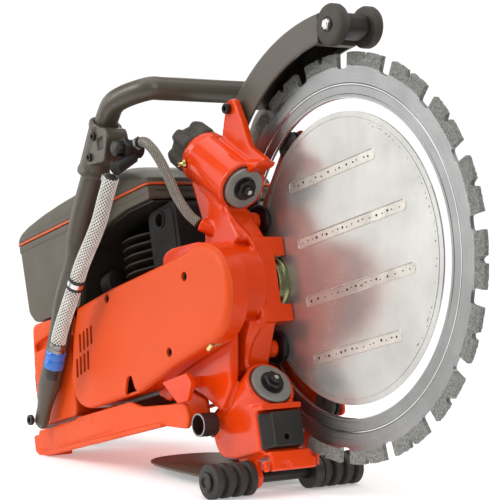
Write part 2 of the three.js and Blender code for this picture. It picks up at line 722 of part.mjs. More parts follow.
// Rear handle: a closed loop behind the tank, bored for the lockout and trigger.
function rearHandle() {
  const loop = [[-459, 14], [-500, 24], [-556, 18], [-582, -10], [-582, -46], [-566, -86.9], [-545, -92], [-500, -94],
    [-459, -88], [-459, -56], [-500, -54], [-540, -50], [-556, -38], [-556, -18], [-543, -6],
    [-500, -4], [-459, -18]];
  const body = plate(outline(loop, 8), -16, 16);
  const triggerSlot = box(-541, -499, -7, 7, -20, 8);
  const lockSlot = box(-546, -506, -6, 6, 8.3, 40);
  return cut(body, triggerSlot, lockSlot);
}

function throttleTrigger() {
  const side = outline([[-538, -5], [-504, 5], [-500.5, 2], [-506, -12], [-514, -26], [-522, -26],
    [-532, -14]], 3);
  return plate(side, -6, 6);
}

function throttleLockout() {
  const side = outline([[-543, 15], [-543, 25], [-532, 29], [-509, 24], [-508, 9.5], [-513, 8.8]], 2);
  return plate(side, -5, 5);
}

// Front handle: one bent tube from side to side.
function handleRoute() {
  const right = [[-428, -82], [-415, -65], [-401, -46], [-369, -4], [-346, 34], [-316, 67], [-307, 88],
    [-287, 115], [-264, 140], [-241, 167], [-219, 192], [-197, 203]];
  const { y, barX, barZ } = HANDLE;
  const near = right.map(([x, z]) => [x, -y, z]);
  const top = [[barX - 4, -y + 14, barZ], [barX, -y + 34, barZ], [barX, 0, barZ], [barX, y - 34, barZ],
    [barX - 4, y - 14, barZ]];
  const far = [...right].reverse().map(([x, z]) => [x, y, z]);
  return [...near, ...top, ...far];
}

function frontHandle() {
  return swept(handleRoute(), HANDLE.radius, 8, 40);
}

function handleClamp() {
  const lower = at(-264, -HANDLE.y, 140);
  const upper = at(-219, -HANDLE.y, 192);
  const along = upper.clone().sub(lower).normalize();
  const from = lower.clone().addScaledVector(along, 8);
  const to = upper.clone().addScaledVector(along, -8);
  const wing = outline([[-244, 172], [-226, 184], [-204, 177], [-201, 168], [-213, 145], [-250, 150]], 4);
  const bore = rod(lower.clone().addScaledVector(along, -4), upper.clone().addScaledVector(along, 4), 12.6, 12);
  return join(rod(from, to, 15.5, 16), plate(wing, -109, -84)).subtract(bore);
}

function valveBody() {
  const { x, y, z } = VALVE;
  const body = rod(at(x, y - 12, z), at(x, y + 10, z), 9, 14);
  const inlet = rod(at(x, y, z - 8), at(x + 4, y - 24, z - 22), 6.5);
  const outlet = rod(at(x, y, z + 2), at(x + 17.5, y, z + 2), 5);
  return join(body, inlet, outlet);
}

function valveKnob() {
  const profile = [[0, 0], [8, 0], [8, 7], [6, 9], [0, 9]];
  return turnedAlong(profile, at(VALVE.x, VALVE.y - 12 - GAP, VALVE.z), at(0, -1, 0), 10);
}

const SUPPLY_ROUTE = [[-190, -117, 123], [-206, -117, 106], [-226, -117, 84], [-264, -117, 55],
  [-283, -117, 37], [-309, -117, 13], [-325, -117, -3], [-332, -117, -12.8]];

function supplyHose() {
  return swept(SUPPLY_ROUTE, HOSE.supply, 8, 12);
}

function hoseConnector() {
  const from = at(-332.2, -117, -13.1);
  const direction = at(-20, 0, -28).normalize();
  const profile = [[0, 0], [8.5, 0], [8.5, 9], [10, 10], [10, 28], [7.5, 30], [7.5, 40], [0, 40]];
  return turnedAlong(profile, from, direction, 20);
}

const BRANCH_ROUTE = [[-170.6, -90, 154], [-164, -89, 151], [-157, -86, 141], [-153, -81, 126],
  [-151.5, -76, 110], [-150, -71, 93], [-145.5, -64, 76], [-139.5, -58.5, 66]];

function branchHose() {
  return swept(BRANCH_ROUTE, HOSE.branch, 8, 12);
}

function decompressionButton() {
  const profile = [[0, -14], [BUTTON.stem, -14], [BUTTON.stem, 0], [6, 0], [6, 8], [0, 8]];
  return turnedAlong(profile, at(BUTTON.x, BUTTON.y, BUTTON.z), at(0, 0, 1), 14);
}

function stopSwitch() {
  const side = outline([[-488, 21.6], [-488, 29], [-476, 29], [-472, 17.7]], 2);
  return plate(side, -8, 8);
}

// Cutting head
add('ring_blade', ringBlade(), SEGMENT_STEEL);
add('centre_disc', centreDisc(), STAINLESS);
add('arm_casting', armCasting(), ORANGE);
add('far_carrier', farCarrier(), ORANGE);
add('drive_wheel', driveWheel(), STEEL);
add('drive_shaft', pin(DRIVE_X, 0, -86, 9, DRIVE.shaft, 16), STEEL);
add('driven_pulley', beltPulley(DRIVE_X, 0, PULLEY.drive, DRIVE.shaft + GAP), ALUMINIUM);
add('bearing_near', turned(sleeve(DRIVE.shaft + GAP, DRUM.bore - 0.7, -64, -52), DRIVE_X, 0), STEEL);
add('bearing_far', turned(sleeve(DRIVE.shaft + GAP, DRUM.bore - 0.7, -27, -15), DRIVE_X, 0), STEEL);
add('drive_belt', driveBelt(), RUBBER);
add('guide_roller_upper', guideRoller(1), BLACK);
add('guide_roller_lower', guideRoller(-1), BLACK);
add('support_roller_upper', supportRoller(1), BLACK);
add('support_roller_lower', supportRoller(-1), BLACK);
add('cylinder_cap_upper', cylinderCap(ARM), ALUMINIUM);
add('cylinder_cap_lower', cylinderCap(LOWER_ARM), ALUMINIUM);
add('tension_spring_upper', tensionSpring(ARM), STEEL);
add('tension_spring_lower', tensionSpring(LOWER_ARM), STEEL);
add('tension_knob', tensionKnob(), BLACK);
add('lower_pad', lowerPad(), RUBBER);

// Guards and rollers
add('blade_guard', bladeGuard(), GREY);
add('guard_axle', guardAxle(), STAINLESS);
add('guard_wheel_near', guardWheel(-1), BLACK);
add('guard_wheel_far', guardWheel(1), BLACK);
add('roller_axle', rollerAxle(), STEEL);
add('foot_roller_near', footRoller(-101, -55), RUBBER);
add('foot_roller_far', footRoller(21, 68), RUBBER);
add('splash_flap', splashFlap(), GREY);
add('cross_tube', turned(sleeve(9, 11, -84, -67), -146, -125, 24), BLACK);
add('belt_guard', beltGuard(), SATIN_ORANGE);

// Engine and housings
add('crankcase', crankcase(), ALUMINIUM);
add('crankshaft', crankshaft(), STEEL);
add('clutch_pulley', clutchPulley(), STEEL);
add('flywheel', flywheel(), ALUMINIUM);
add('cylinder', cylinder(), BLACK);
add('muffler', muffler(), BLACK);
add('filter_cover', filterCover(), GREY);
add('cover_seam', coverSeam(), SATIN_ORANGE);
add('cover_lower', coverLower(), GREY);
add('air_filter', airFilter(), BLACK);
add('intake_bellows', intakeBellows(), RUBBER);
add('tank_housing', tankHousing(), ORANGE);
add('fuel_cap', fuelCap(), BLACK);
add('base_plate', basePlate(), ORANGE);
add('starter_cover', starterCover(), ORANGE);
add('starter_reel', starterReel(), BLACK);
add('starter_rope', starterRope(), BLACK);
add('starter_grip', starterGrip(), BLACK);

// Handles and water
add('rear_handle', rearHandle(), BLACK);
add('throttle_trigger', throttleTrigger(), BLACK);
add('throttle_lockout', throttleLockout(), BLACK);
add('front_handle', frontHandle(), GREY);
add('handle_clamp', handleClamp(), GREY);
add('valve_body', valveBody(), BLACK);
add('valve_knob', valveKnob(), BLACK);
add('supply_hose', supplyHose(), CLEAR_HOSE);
add('hose_connector', hoseConnector(), BLUE);
add('branch_hose', branchHose(), CLEAR_HOSE);
add('decompression_button', decompressionButton(), BLACK);
add('stop_switch', stopSwitch(), BLACK);

// The origin is the middle of the base of the bounding box, on the ground.
saw.updateMatrixWorld(true);
const bounds = new THREE.Box3().setFromObject(saw, true);
saw.position.set(-(bounds.min.x + bounds.max.x) / 2, -(bounds.min.y + bounds.max.y) / 2, -bounds.min.z);

export default saw;
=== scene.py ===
import math
import random

import bmesh
import bpy
from mathutils import Matrix, Vector


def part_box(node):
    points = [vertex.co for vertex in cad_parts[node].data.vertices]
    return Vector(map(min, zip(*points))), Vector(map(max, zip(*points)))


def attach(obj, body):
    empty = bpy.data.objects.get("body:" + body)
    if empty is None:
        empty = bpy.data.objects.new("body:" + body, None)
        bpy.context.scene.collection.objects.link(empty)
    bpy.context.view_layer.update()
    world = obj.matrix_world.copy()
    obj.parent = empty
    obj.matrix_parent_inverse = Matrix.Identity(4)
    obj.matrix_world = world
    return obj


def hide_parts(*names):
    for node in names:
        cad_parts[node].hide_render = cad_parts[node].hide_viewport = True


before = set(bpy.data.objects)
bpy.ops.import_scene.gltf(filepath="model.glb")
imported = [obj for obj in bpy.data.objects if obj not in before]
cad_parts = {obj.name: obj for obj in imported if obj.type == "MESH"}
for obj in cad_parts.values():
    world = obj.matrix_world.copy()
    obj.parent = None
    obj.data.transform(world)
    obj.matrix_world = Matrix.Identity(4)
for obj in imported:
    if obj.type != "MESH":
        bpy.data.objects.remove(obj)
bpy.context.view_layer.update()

# The machine's own frame: millimetres, x forward, y to the left, z up, origin at the ring's centre.
# It stands nose-up in the row frame by TILT.
TILT = math.radians(13.65)
ring_low, ring_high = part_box("ring_blade")
CENTRE = (ring_low + ring_high) / 2
TO_ROW = Matrix.Translation(CENTRE) @ Matrix.Rotation(-TILT, 4, "Y") @ Matrix.Scale(0.001, 4)

RING = dict(outer=185, core=174, inner=143.3, half=2.0, segment_half=2.5, count=18, span=15.4, phase=7.2)
DISC = dict(radius=132, y0=0.2, y1=2.0)
DRIVE_X = -117.3
ROLLER = dict(radius=11.9, lip=16, at=131, angle=152, pin=4)
SUPPORT = dict(radius=14, at=138, angle=118)
ARM_Y = -35
UPPER_ARM = ((-92, ARM_Y, 89), (-148, ARM_Y, 134))
LOWER_ARM = ((-92, ARM_Y, -98.5), (-160, ARM_Y, -131))
ENGINE = (-275, -28)
AXLE = (-117, -179.5)
GUARD_AXLE = (55, 200)
HANDLE_Y = 95
VALVE = (-190, -90, 152)
FILLER = (-430, 90, -8)
ARM = dict(radius=25, bore=21)
SHAFT_BORE = 8.3
BELT = dict(y0=-82.6, y1=-74.4, ribs=6)
FINS = dict(count=9, first=10, pitch=8.8)
HANDLE_TUBE = 11.5
SUPPLY_RADIUS = 7.2
BRANCH_RADIUS = 4.5
CLAMP_SCREWS = ((-226, 174), (-238, 156))
NIPPLES = (((-140, -46, 126), (-144.5, -59, 126)), ((-154, -46, -131), (-159, -59, -132)))
KNOB = dict(radius=25, lobe=2.5, depth=29, lobes=6)
PULL = Vector((0.8, 0, 0.6))
ALONG_X, ALONG_Y, ALONG_Z = Vector((1, 0, 0)), Vector((0, 1, 0)), Vector((0, 0, 1))

random.seed(7)


# ---------------------------------------------------------------- geometry
# A solid is a pair (vertices, faces) in the machine's frame.

def polar(radius, degrees):
    return radius * math.cos(math.radians(degrees)), radius * math.sin(math.radians(degrees))


def rounded(points, fillet, steps=5):
    """The outline with each corner rounded. fillet is one reach, or one for each corner."""
    out = []
    count = len(points)
    for i, point in enumerate(points):
        corner = Vector(point)
        before = Vector(points[i - 1])
        after = Vector(points[(i + 1) % count])
        reach = fillet[i] if isinstance(fillet, (list, tuple)) else fillet
        reach = min(reach, (before - corner).length / 2.2, (after - corner).length / 2.2)
        if reach < 0.05:
            out.append(corner)
            continue
        start = corner + (before - corner).normalized() * reach
        end = corner + (after - corner).normalized() * reach
        for k in range(steps + 1):
            t = k / steps
            out.append(start * (1 - t) ** 2 + corner * 2 * t * (1 - t) + end * t * t)
    return out


def loft(rings, closed=False):
    """Rings of equal length joined one to the next, with a cap on each end unless closed."""
    verts = [tuple(v) for ring in rings for v in ring]
    n = len(rings[0])
    faces = []
    last = len(rings) if closed else len(rings) - 1
    for k in range(last):
        a = k * n
        b = ((k + 1) % len(rings)) * n
        faces += [(a + i, a + (i + 1) % n, b + (i + 1) % n, b + i) for i in range(n)]
    if not closed:
        faces.append(tuple(range(n - 1, -1, -1)))
        faces.append(tuple(range((len(rings) - 1) * n, len(rings) * n)))
    return verts, faces


def prism(shape, y0, y1):
    """An outline in x and z, between two y planes."""
    return loft([[(p[0], y0, p[1]) for p in shape], [(p[0], y1, p[1]) for p in shape]])


def slab(shape, origin, across, upward, depth):
    """An outline in any plane: its first coordinate along across, its second along upward."""
    origin, across, upward = Vector(origin), Vector(across).normalized(), Vector(upward).normalized()
    normal = across.cross(upward).normalized() * depth
    near = [origin + across * p[0] + upward * p[1] for p in shape]
    return loft([near, [p + normal for p in near]])


def block(x0, x1, y0, y1, z0, z1):
    return prism([(x0, z0), (x1, z0), (x1, z1), (x0, z1)], y0, y1)


def frame_of(direction):
    axis = Vector(direction).normalized()
    turn = Vector((0, 0, 1)).rotation_difference(axis)
    return turn @ Vector((1, 0, 0)), turn @ Vector((0, 1, 0)), axis


def revolve(profile, base, direction=(0, 1, 0), steps=48, closed=False):
    """A turned solid from (radius, distance along) pairs. closed joins the last pair to the first."""
    side, other, axis = frame_of(direction)
    base = Vector(base)
    rings = []
    for radius, along in profile:
        radius = max(radius, 0.01)
        rings.append([base + axis * along + side * (radius * math.cos(math.tau * i / steps))
                      + other * (radius * math.sin(math.tau * i / steps)) for i in range(steps)])
    return loft(rings, closed)


def rod(start, end, radius, steps=32, chamfer=0.0):
    start, end = Vector(start), Vector(end)
    length = (end - start).length
    profile = [(radius, 0), (radius, length)]
    if chamfer:
        profile = [(radius - chamfer, 0), (radius, chamfer), (radius, length - chamfer),
                   (radius - chamfer, length)]
    return revolve(profile, start, end - start, steps)


def sleeve(inner, outer, y0, y1, base, direction=(0, 1, 0), steps=48, chamfer=0.4):
    profile = [(inner, y0), (outer - chamfer, y0), (outer, y0 + chamfer), (outer, y1 - chamfer),
               (outer - chamfer, y1), (inner, y1)]
    return revolve(profile, base, direction, steps, closed=True)


def fluted(levels, radius_at, base, side, other, axis, steps):
    """Rings round an axis, with radius_at(radius, along, step) giving the flutes."""
    rings = []
    for along, radius in levels:
        ring = []
        for k in range(steps):
            x, z = polar(radius_at(radius, along, k), 360 * k / steps)
            ring.append(base + axis * along + side * x + other * z)
        rings.append(ring)
    return loft(rings)


def smooth_path(points, per=8):
    """A Catmull-Rom curve through the points."""
    pts = [Vector(p) for p in points]
    pts = [pts[0] * 2 - pts[1]] + pts + [pts[-1] * 2 - pts[-2]]
    out = []
    for i in range(1, len(pts) - 2):
        a, b, c, d = pts[i - 1:i + 3]
        for k in range(per):
            t = k / per
            out.append(0.5 * ((2 * b) + (c - a) * t + (2 * a - 5 * b + 4 * c - d) * t * t
                              + (3 * b - a - 3 * c + d) * t ** 3))
    out.append(pts[-2])
    return out


def sweep(path, radius, sides=20):
    """A round bar along a path. radius may be a list, one for each point."""
    path = [Vector(p) for p in path]
    tangents = []
    for i, point in enumerate(path):
        tangents.append((path[min(i + 1, len(path) - 1)] - path[max(i - 1, 0)]).normalized())
    side = frame_of(tangents[0])[0]
    rings = []
    for i, point in enumerate(path):
        if i:
            side = tangents[i - 1].rotation_difference(tangents[i]) @ side
        other = tangents[i].cross(side)
        r = radius[i] if isinstance(radius, list) else radius
        rings.append([point + side * (r * math.cos(math.tau * k / sides))
                      + other * (r * math.sin(math.tau * k / sides)) for k in range(sides)])
    return loft(rings)


def hexagon(centre, direction, across, height, chamfer=0.6):
    radius = across / math.sqrt(3)
    return revolve([(radius - chamfer, 0), (radius, chamfer), (radius, height - chamfer),
                    (radius - chamfer, height)], centre, direction, 6)


def socket_screw(centre, direction, radius, height):
    """A round screw head with a hexagonal recess, as one turned body with a stepped bore."""
    return revolve([(radius - 0.5, 0), (radius, 0.5), (radius, height - 0.6), (radius - 0.6, height),
                    (radius * 0.55, height), (radius * 0.5, height - 0.4), (radius * 0.5, height * 0.4),
                    (0, height * 0.4)], centre, direction, 24)


def joined(solids):
    verts, faces = [], []
    for v, f in solids:
        base = len(verts)
        verts += [tuple(p) for p in v]
        faces += [tuple(i + base for i in face) for face in f]
    return verts, faces


def mesh_of(name, solids):
    verts, faces = joined(solids)
    mesh = bpy.data.meshes.new(name)
    mesh.from_pydata([TO_ROW @ Vector(v) for v in verts], [], faces)
    bm = bmesh.new()
    bm.from_mesh(mesh)
    bmesh.ops.remove_doubles(bm, verts=bm.verts, dist=2e-5)
    bmesh.ops.recalc_face_normals(bm, faces=bm.faces)
    bm.to_mesh(mesh)
    bm.free()
    return mesh


def link(name, mesh):
    obj = bpy.data.objects.new(name, mesh)
    bpy.context.scene.collection.objects.link(obj)
    return obj


def bake_modifiers(obj):
    bpy.context.view_layer.update()
    graph = bpy.context.evaluated_depsgraph_get()
    mesh = bpy.data.meshes.new_from_object(obj.evaluated_get(graph))
    obj.modifiers.clear()
    obj.data = mesh


def carve(obj, cutters):
    if not cutters:
        return
    tool = link("cutter", mesh_of("cutter", cutters))
    modifier = obj.modifiers.new("cut", "BOOLEAN")
    modifier.operation = "DIFFERENCE"
    modifier.solver = "EXACT"
    modifier.use_self = True
    modifier.object = tool
    bake_modifiers(obj)
    bpy.data.objects.remove(tool)


def place(obj, material, body, stands_for):
    obj.data.materials.clear()
    obj.data.materials.append(material)
    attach(obj, body)
    if stands_for:
        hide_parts(*stands_for)
    return obj


def set_origin(obj, point):
    """Puts the object's own origin at a machine point, with its mesh left where it is."""
    origin = TO_ROW @ Vector(point)
    obj.data.transform(Matrix.Translation(-origin))
    obj.location = origin


def part(name, solids, look, body="saw_body", stands_for=(), cut=(), bevel=0.0, segments=2, sharp=35,
         origin=None):
    """A crisp piece: exact cuts, then narrow rounded edges."""
    obj = link(name, mesh_of(name, solids))
    carve(obj, cut)
    if bevel:
        modifier = obj.modifiers.new("edges", "BEVEL")
        modifier.width = bevel / 1000
        modifier.segments = segments
        modifier.limit_method = "ANGLE"
        modifier.angle_limit = math.radians(32)
        modifier.miter_outer = "MITER_ARC"
        bake_modifiers(obj)
    obj.data.shade_smooth()
    obj.data.set_sharp_from_angle(angle=math.radians(sharp))
    if bevel:
        weighted = obj.modifiers.new("normals", "WEIGHTED_NORMAL")
        weighted.keep_sharp = True
    if origin:
        set_origin(obj, origin)
    material, slot = look
    return place(obj, material, body, stands_for)


def remesh(obj, voxel):
    modifier = obj.modifiers.new("voxels", "REMESH")
    modifier.mode = "VOXEL"
    modifier.voxel_size = voxel / 1000
    bake_modifiers(obj)


def casting(name, solids, look, body="saw_body", stands_for=(), cut=(), voxel=1.2, soften=6, factor=0.5):
    """A cast or moulded piece: its solids are fused, cut, and every edge and inner corner is softened."""
    obj = link(name, mesh_of(name, solids))
    remesh(obj, voxel)
    if cut:
        carve(obj, cut)
        remesh(obj, voxel)
    smooth = obj.modifiers.new("soften", "SMOOTH")
    smooth.factor = factor
    smooth.iterations = soften
    bake_modifiers(obj)
    obj.data.shade_smooth()
    material, slot = look
    return place(obj, material, body, stands_for)


# ---------------------------------------------------------------- materials

def nodes_of(name):
    material = bpy.data.materials.new(name)
    material.use_nodes = True
    tree = material.node_tree
    shader = next(n for n in tree.nodes if n.type == "BSDF_PRINCIPLED")
    return material, tree, shader


def noise(tree, coords, scale, detail=4.0, rough=0.55):
    node = tree.nodes.new("ShaderNodeTexNoise")
    node.inputs["Scale"].default_value = scale
    node.inputs["Detail"].default_value = detail
    node.inputs["Roughness"].default_value = rough
    tree.links.new(coords, node.inputs["Vector"])
    return node.outputs["Fac"]


def ramp(tree, value, low, high, low_at=0.3, high_at=0.7):
    node = tree.nodes.new("ShaderNodeValToRGB")
    node.color_ramp.elements[0].position = low_at
    node.color_ramp.elements[1].position = high_at
    node.color_ramp.elements[0].color = (*low, 1) if isinstance(low, tuple) else (low, low, low, 1)
    node.color_ramp.elements[1].color = (*high, 1) if isinstance(high, tuple) else (high, high, high, 1)
    tree.links.new(value, node.inputs["Fac"])
    return node.outputs["Color"]


def bump(tree, shader, height, distance, strength=1.0, after=None):
    node = tree.nodes.new("ShaderNodeBump")
    node.inputs["Distance"].default_value = distance / 1000
    node.inputs["Strength"].default_value = strength
    tree.links.new(height, node.inputs["Height"])
    if after is not None:
        tree.links.new(after, node.inputs["Normal"])
    tree.links.new(node.outputs["Normal"], shader.inputs["Normal"])
    return node.outputs["Normal"]


def linear(red, green, blue):
    """An sRGB colour, 0 to 255, as the linear values a shader takes."""
    def one(value):
        value /= 255
        return value / 12.92 if value <= 0.04045 else ((value + 0.055) / 1.055) ** 2.4
    return one(red), one(green), one(blue)


def shade(colour, factor):
    return tuple(min(1.0, c * factor) for c in colour)


def surface(name, colour, rough, metal=0.0, coat=0.0, mottle=(14, 0.12), grain=(900, 0.05), spread=0.08,
            peel=None, specular=None):
    """A plain finish with slow colour change, uneven roughness and a fine grain in its relief."""
    material, tree, shader = nodes_of(name)
    coords = tree.nodes.new("ShaderNodeTexCoord").outputs["Object"]
    scale, amount = mottle
    slow = noise(tree, coords, scale)
    tree.links.new(ramp(tree, slow, shade(colour, 1 - amount), shade(colour, 1 + amount)),
                   shader.inputs["Base Color"])
    uneven = noise(tree, coords, scale * 3.1, 6)
    tree.links.new(ramp(tree, uneven, max(0.02, rough - spread), min(1.0, rough + spread)),
                   shader.inputs["Roughness"])
    shader.inputs["Metallic"].default_value = metal
    shader.inputs["Coat Weight"].default_value = coat
    shader.inputs["Coat Roughness"].default_value = 0.06
    if specular is not None:
        shader.inputs["Specular IOR Level"].default_value = specular
    fine_scale, fine_depth = grain
    relief = bump(tree, shader, noise(tree, coords, fine_scale, 3), fine_depth)
    if peel:
        bump(tree, shader, noise(tree, coords, peel[0], 2), peel[1], after=relief)
    return material


def turned_steel(name, colour, rough, centre_scale, depth=0.02):
    """Steel with fine turning marks about the piece's own y axis."""
    material, tree, shader = nodes_of(name)
    coords = tree.nodes.new("ShaderNodeTexCoord").outputs["Object"]
    flat = tree.nodes.new("ShaderNodeVectorMath")
    flat.operation = "MULTIPLY"
    flat.inputs[1].default_value = (1, 0, 1)
    tree.links.new(coords, flat.inputs[0])
    length = tree.nodes.new("ShaderNodeVectorMath")
    length.operation = "LENGTH"
    tree.links.new(flat.outputs["Vector"], length.inputs[0])
    lines = tree.nodes.new("ShaderNodeTexNoise")
    lines.noise_dimensions = "1D"
    lines.inputs["Scale"].default_value = centre_scale
    lines.inputs["Detail"].default_value = 5
    tree.links.new(length.outputs["Value"], lines.inputs["W"])
    stain = noise(tree, coords, 22, 5)
    tree.links.new(ramp(tree, stain, shade(colour, 0.86), shade(colour, 1.08)), shader.inputs["Base Color"])
    tree.links.new(ramp(tree, lines.outputs["Fac"], max(0.02, rough - 0.07), rough + 0.1),
                   shader.inputs["Roughness"])
    shader.inputs["Metallic"].default_value = 1.0
    shader.inputs["Anisotropic"].default_value = 0.4
    bump(tree, shader, lines.outputs["Fac"], depth)
    return material


def speckled(name, dark, light, rough, metal, scale, depth):
    """Sintered grit: two tones of small grains with pits and bright points."""
    material, tree, shader = nodes_of(name)
    coords = tree.nodes.new("ShaderNodeTexCoord").outputs["Object"]
    grains = tree.nodes.new("ShaderNodeTexVoronoi")
    grains.inputs["Scale"].default_value = scale
    tree.links.new(coords, grains.inputs["Vector"])
    pits = noise(tree, coords, scale * 0.35, 8, 0.7)
    mix = tree.nodes.new("ShaderNodeMath")
    mix.operation = "MULTIPLY_ADD"
    tree.links.new(grains.outputs["Distance"], mix.inputs[0])
    mix.inputs[1].default_value = 0.5
    tree.links.new(pits, mix.inputs[2])
    tree.links.new(ramp(tree, mix.outputs[0], dark, light, 0.42, 0.95), shader.inputs["Base Color"])
    shader.inputs["Metallic"].default_value = metal
    tree.links.new(ramp(tree, pits, rough - 0.15, rough + 0.15), shader.inputs["Roughness"])
    bump(tree, shader, mix.outputs[0], depth)
    return material


def brushed_disc(name, colour):
    """Rolled stainless sheet: smudges, short scratches along one way and a soft mirror."""
    material, tree, shader = nodes_of(name)
    coords = tree.nodes.new("ShaderNodeTexCoord").outputs["Object"]
    stretch = tree.nodes.new("ShaderNodeMapping")
    stretch.inputs["Scale"].default_value = (9, 1, 90)
    stretch.inputs["Rotation"].default_value = (0, 0.35, 0)
    tree.links.new(coords, stretch.inputs["Vector"])
    lines = noise(tree, stretch.outputs["Vector"], 6, 6, 0.65)
    smudge = noise(tree, coords, 16, 7, 0.62)
    tree.links.new(ramp(tree, smudge, shade(colour, 0.78), colour, 0.32, 0.62), shader.inputs["Base Color"])
    blend = tree.nodes.new("ShaderNodeMath")
    blend.operation = "MULTIPLY_ADD"
    tree.links.new(lines, blend.inputs[0])
    blend.inputs[1].default_value = 0.35
    tree.links.new(smudge, blend.inputs[2])
    tree.links.new(ramp(tree, blend.outputs[0], 0.2, 0.3, 0.4, 1.0), shader.inputs["Roughness"])
    shader.inputs["Metallic"].default_value = 0.66
    return material


ORANGE = (surface("orange_paint", linear(224, 62, 5), 0.2, coat=0.3, mottle=(9, 0.09), grain=(420, 0.02),
                  peel=(85, 0.05), specular=0.25), "orange_casting")
SATIN = (surface("orange_satin", linear(222, 76, 14), 0.42, mottle=(7, 0.05), grain=(1500, 0.03),
                 specular=0.25),
         "orange_cover")
SEAM = (surface("orange_seam", linear(206, 84, 30), 0.5, grain=(1500, 0.02)), "orange_cover")
GREY = (surface("grey_moulding", linear(84, 77, 64), 0.5, mottle=(8, 0.06), grain=(1300, 0.06)),
        "grey_cover")
GREY_PAINT = (surface("grey_paint", linear(80, 73, 61), 0.38, coat=0.15, mottle=(8, 0.06),
                      grain=(700, 0.025)), "grey_metal")
BLACK = (surface("black_moulding", linear(36, 33, 29), 0.46, mottle=(12, 0.15), grain=(1100, 0.06)),
         "black_plastic")
BLACK_METAL = (surface("black_metal", linear(30, 27, 25), 0.42, mottle=(12, 0.15), grain=(600, 0.04)),
               "black_metal")
RUBBER = (surface("rubber", linear(46, 41, 36), 0.66, mottle=(30, 0.16), grain=(500, 0.09), spread=0.1),
          "rubber")
RING_STEEL = (turned_steel("ring_steel", linear(150, 151, 150), 0.32, 900), "segment_steel")
STEEL = (surface("steel", linear(150, 150, 146), 0.34, metal=1, mottle=(40, 0.12), grain=(700, 0.02)),
         "steel")
WHEEL_STEEL = (surface("passivated_steel", linear(150, 152, 112), 0.3, metal=1, mottle=(40, 0.15)),
               "steel")
DARK_STEEL = (surface("blackened_steel", linear(58, 56, 54), 0.38, metal=0.8, mottle=(60, 0.2)), "steel")
BRIGHT = (surface("bright_metal", linear(214, 214, 212), 0.16, metal=1, mottle=(40, 0.06)), "bright_metal")
CAP = (surface("cap_grey", linear(150, 148, 144), 0.42, metal=0.75, mottle=(30, 0.07), grain=(900, 0.03)),
       "aluminium")
ALLOY = (surface("cast_alloy", linear(165, 165, 160), 0.45, metal=1, mottle=(30, 0.12), grain=(500, 0.08)),
         "aluminium")
BRASS = (surface("brass", linear(214, 196, 136), 0.25, metal=1, mottle=(40, 0.1)), "brass")
SEGMENT = (speckled("diamond_segment", linear(34, 35, 33), linear(158, 160, 154), 0.6, 0.3, 1100, 0.9),
           "segment_steel")
DISC_STEEL = (brushed_disc("disc_steel", linear(204, 203, 198)), "polished_disc")
SLOT_STEEL = (surface("slot_steel", linear(206, 203, 194), 0.34, metal=0.55, mottle=(60, 0.14)),
              "polished_disc")
SOOT = (surface("heat_paint", linear(25, 23, 21), 0.62, mottle=(20, 0.2), grain=(500, 0.05), specular=0.3),
        "black_metal")
FIN_METAL = (surface("fin_paint", linear(64, 58, 50), 0.46, mottle=(20, 0.15), grain=(500, 0.05)),
             "black_metal")
WHEEL_BLACK = (surface("wheel_tyre", linear(62, 56, 49), 0.62, mottle=(30, 0.12), grain=(600, 0.06)),
               "black_plastic")
HOSE_INNER = (surface("hose_wall", linear(104, 98, 84), 0.2, mottle=(30, 0.1), grain=(900, 0.02)),
              "braided_hose")
HOSE_BRAID = (surface("hose_braid", linear(226, 225, 219), 0.3, mottle=(80, 0.1)), "braided_hose")
BRANCH_BRAID = (surface("branch_braid", linear(150, 146, 136), 0.3, mottle=(60, 0.08)), "braided_hose")
BLUE = (surface("blue_plastic", linear(38, 104, 190), 0.25, coat=0.3, grain=(900, 0.02)), "blue_plastic")


# ---------------------------------------------------------------- cutting head

def ring_core():
    """Steel ring: turned faces with a stepped track, bevelled bore and a rounded gullet between segments."""
    half_gap = (360 / RING["count"] - RING["span"]) / 2
    angles = []
    for i in range(RING["count"]):
        middle = i * 360 / RING["count"] + RING["phase"]
        angles += [(middle - RING["span"] / 2 + RING["span"] * k / 12, 0.0) for k in range(13)]
        gap = middle + 10
        angles += [(gap + half_gap * s, 1 - abs(s) ** 6) for s in (-0.9, -0.7, -0.4, 0, 0.4, 0.7, 0.9)]
    face = [(RING["inner"], 0.7), (RING["inner"] + 1.2, 1.9), (RING["inner"] + 3.6, 1.9),
            (RING["inner"] + 4.2, 1.5), (154.6, 1.5), (155.2, 0.9), (156.6, 0.9), (157.4, 2.0),
            (172.8, 2.0)]
    profile = face + [(r, -y) for r, y in reversed(face)]
    rings = []
    for radius, y in profile:
        ring = []
        for angle, depth in angles:
            r = radius
            if radius > 170:
                r = RING["core"] - 0.4 - 3.6 * max(depth, 0) ** 0.5
            x, z = polar(r, angle)
            ring.append((x, y, z))
        rings.append(ring)
    return loft(rings, closed=True)


def diamond_segment(middle):
    """One sintered segment: chipped rim, one slanted slot in the middle."""
    half = RING["span"] / 2
    outer = RING["outer"]

    def rim(a, b):
        return [polar(outer - random.uniform(0.05, 0.95), middle + a + (b - a) * k / 10) for k in range(11)]

    slot = [polar(outer - 5.0, middle + 0.5), polar(outer - 6.2, middle - 0.1),
            polar(outer - 4.2, middle - 0.9)]
    root = [polar(RING["core"] - 1.6 + random.uniform(-0.5, 0.5), middle - half + 2 * half * k / 12)
            for k in range(13)]
    outline = rim(half, 1.2) + slot + rim(-1.0, -half) + root
    return prism(outline, -RING["segment_half"], RING["segment_half"])


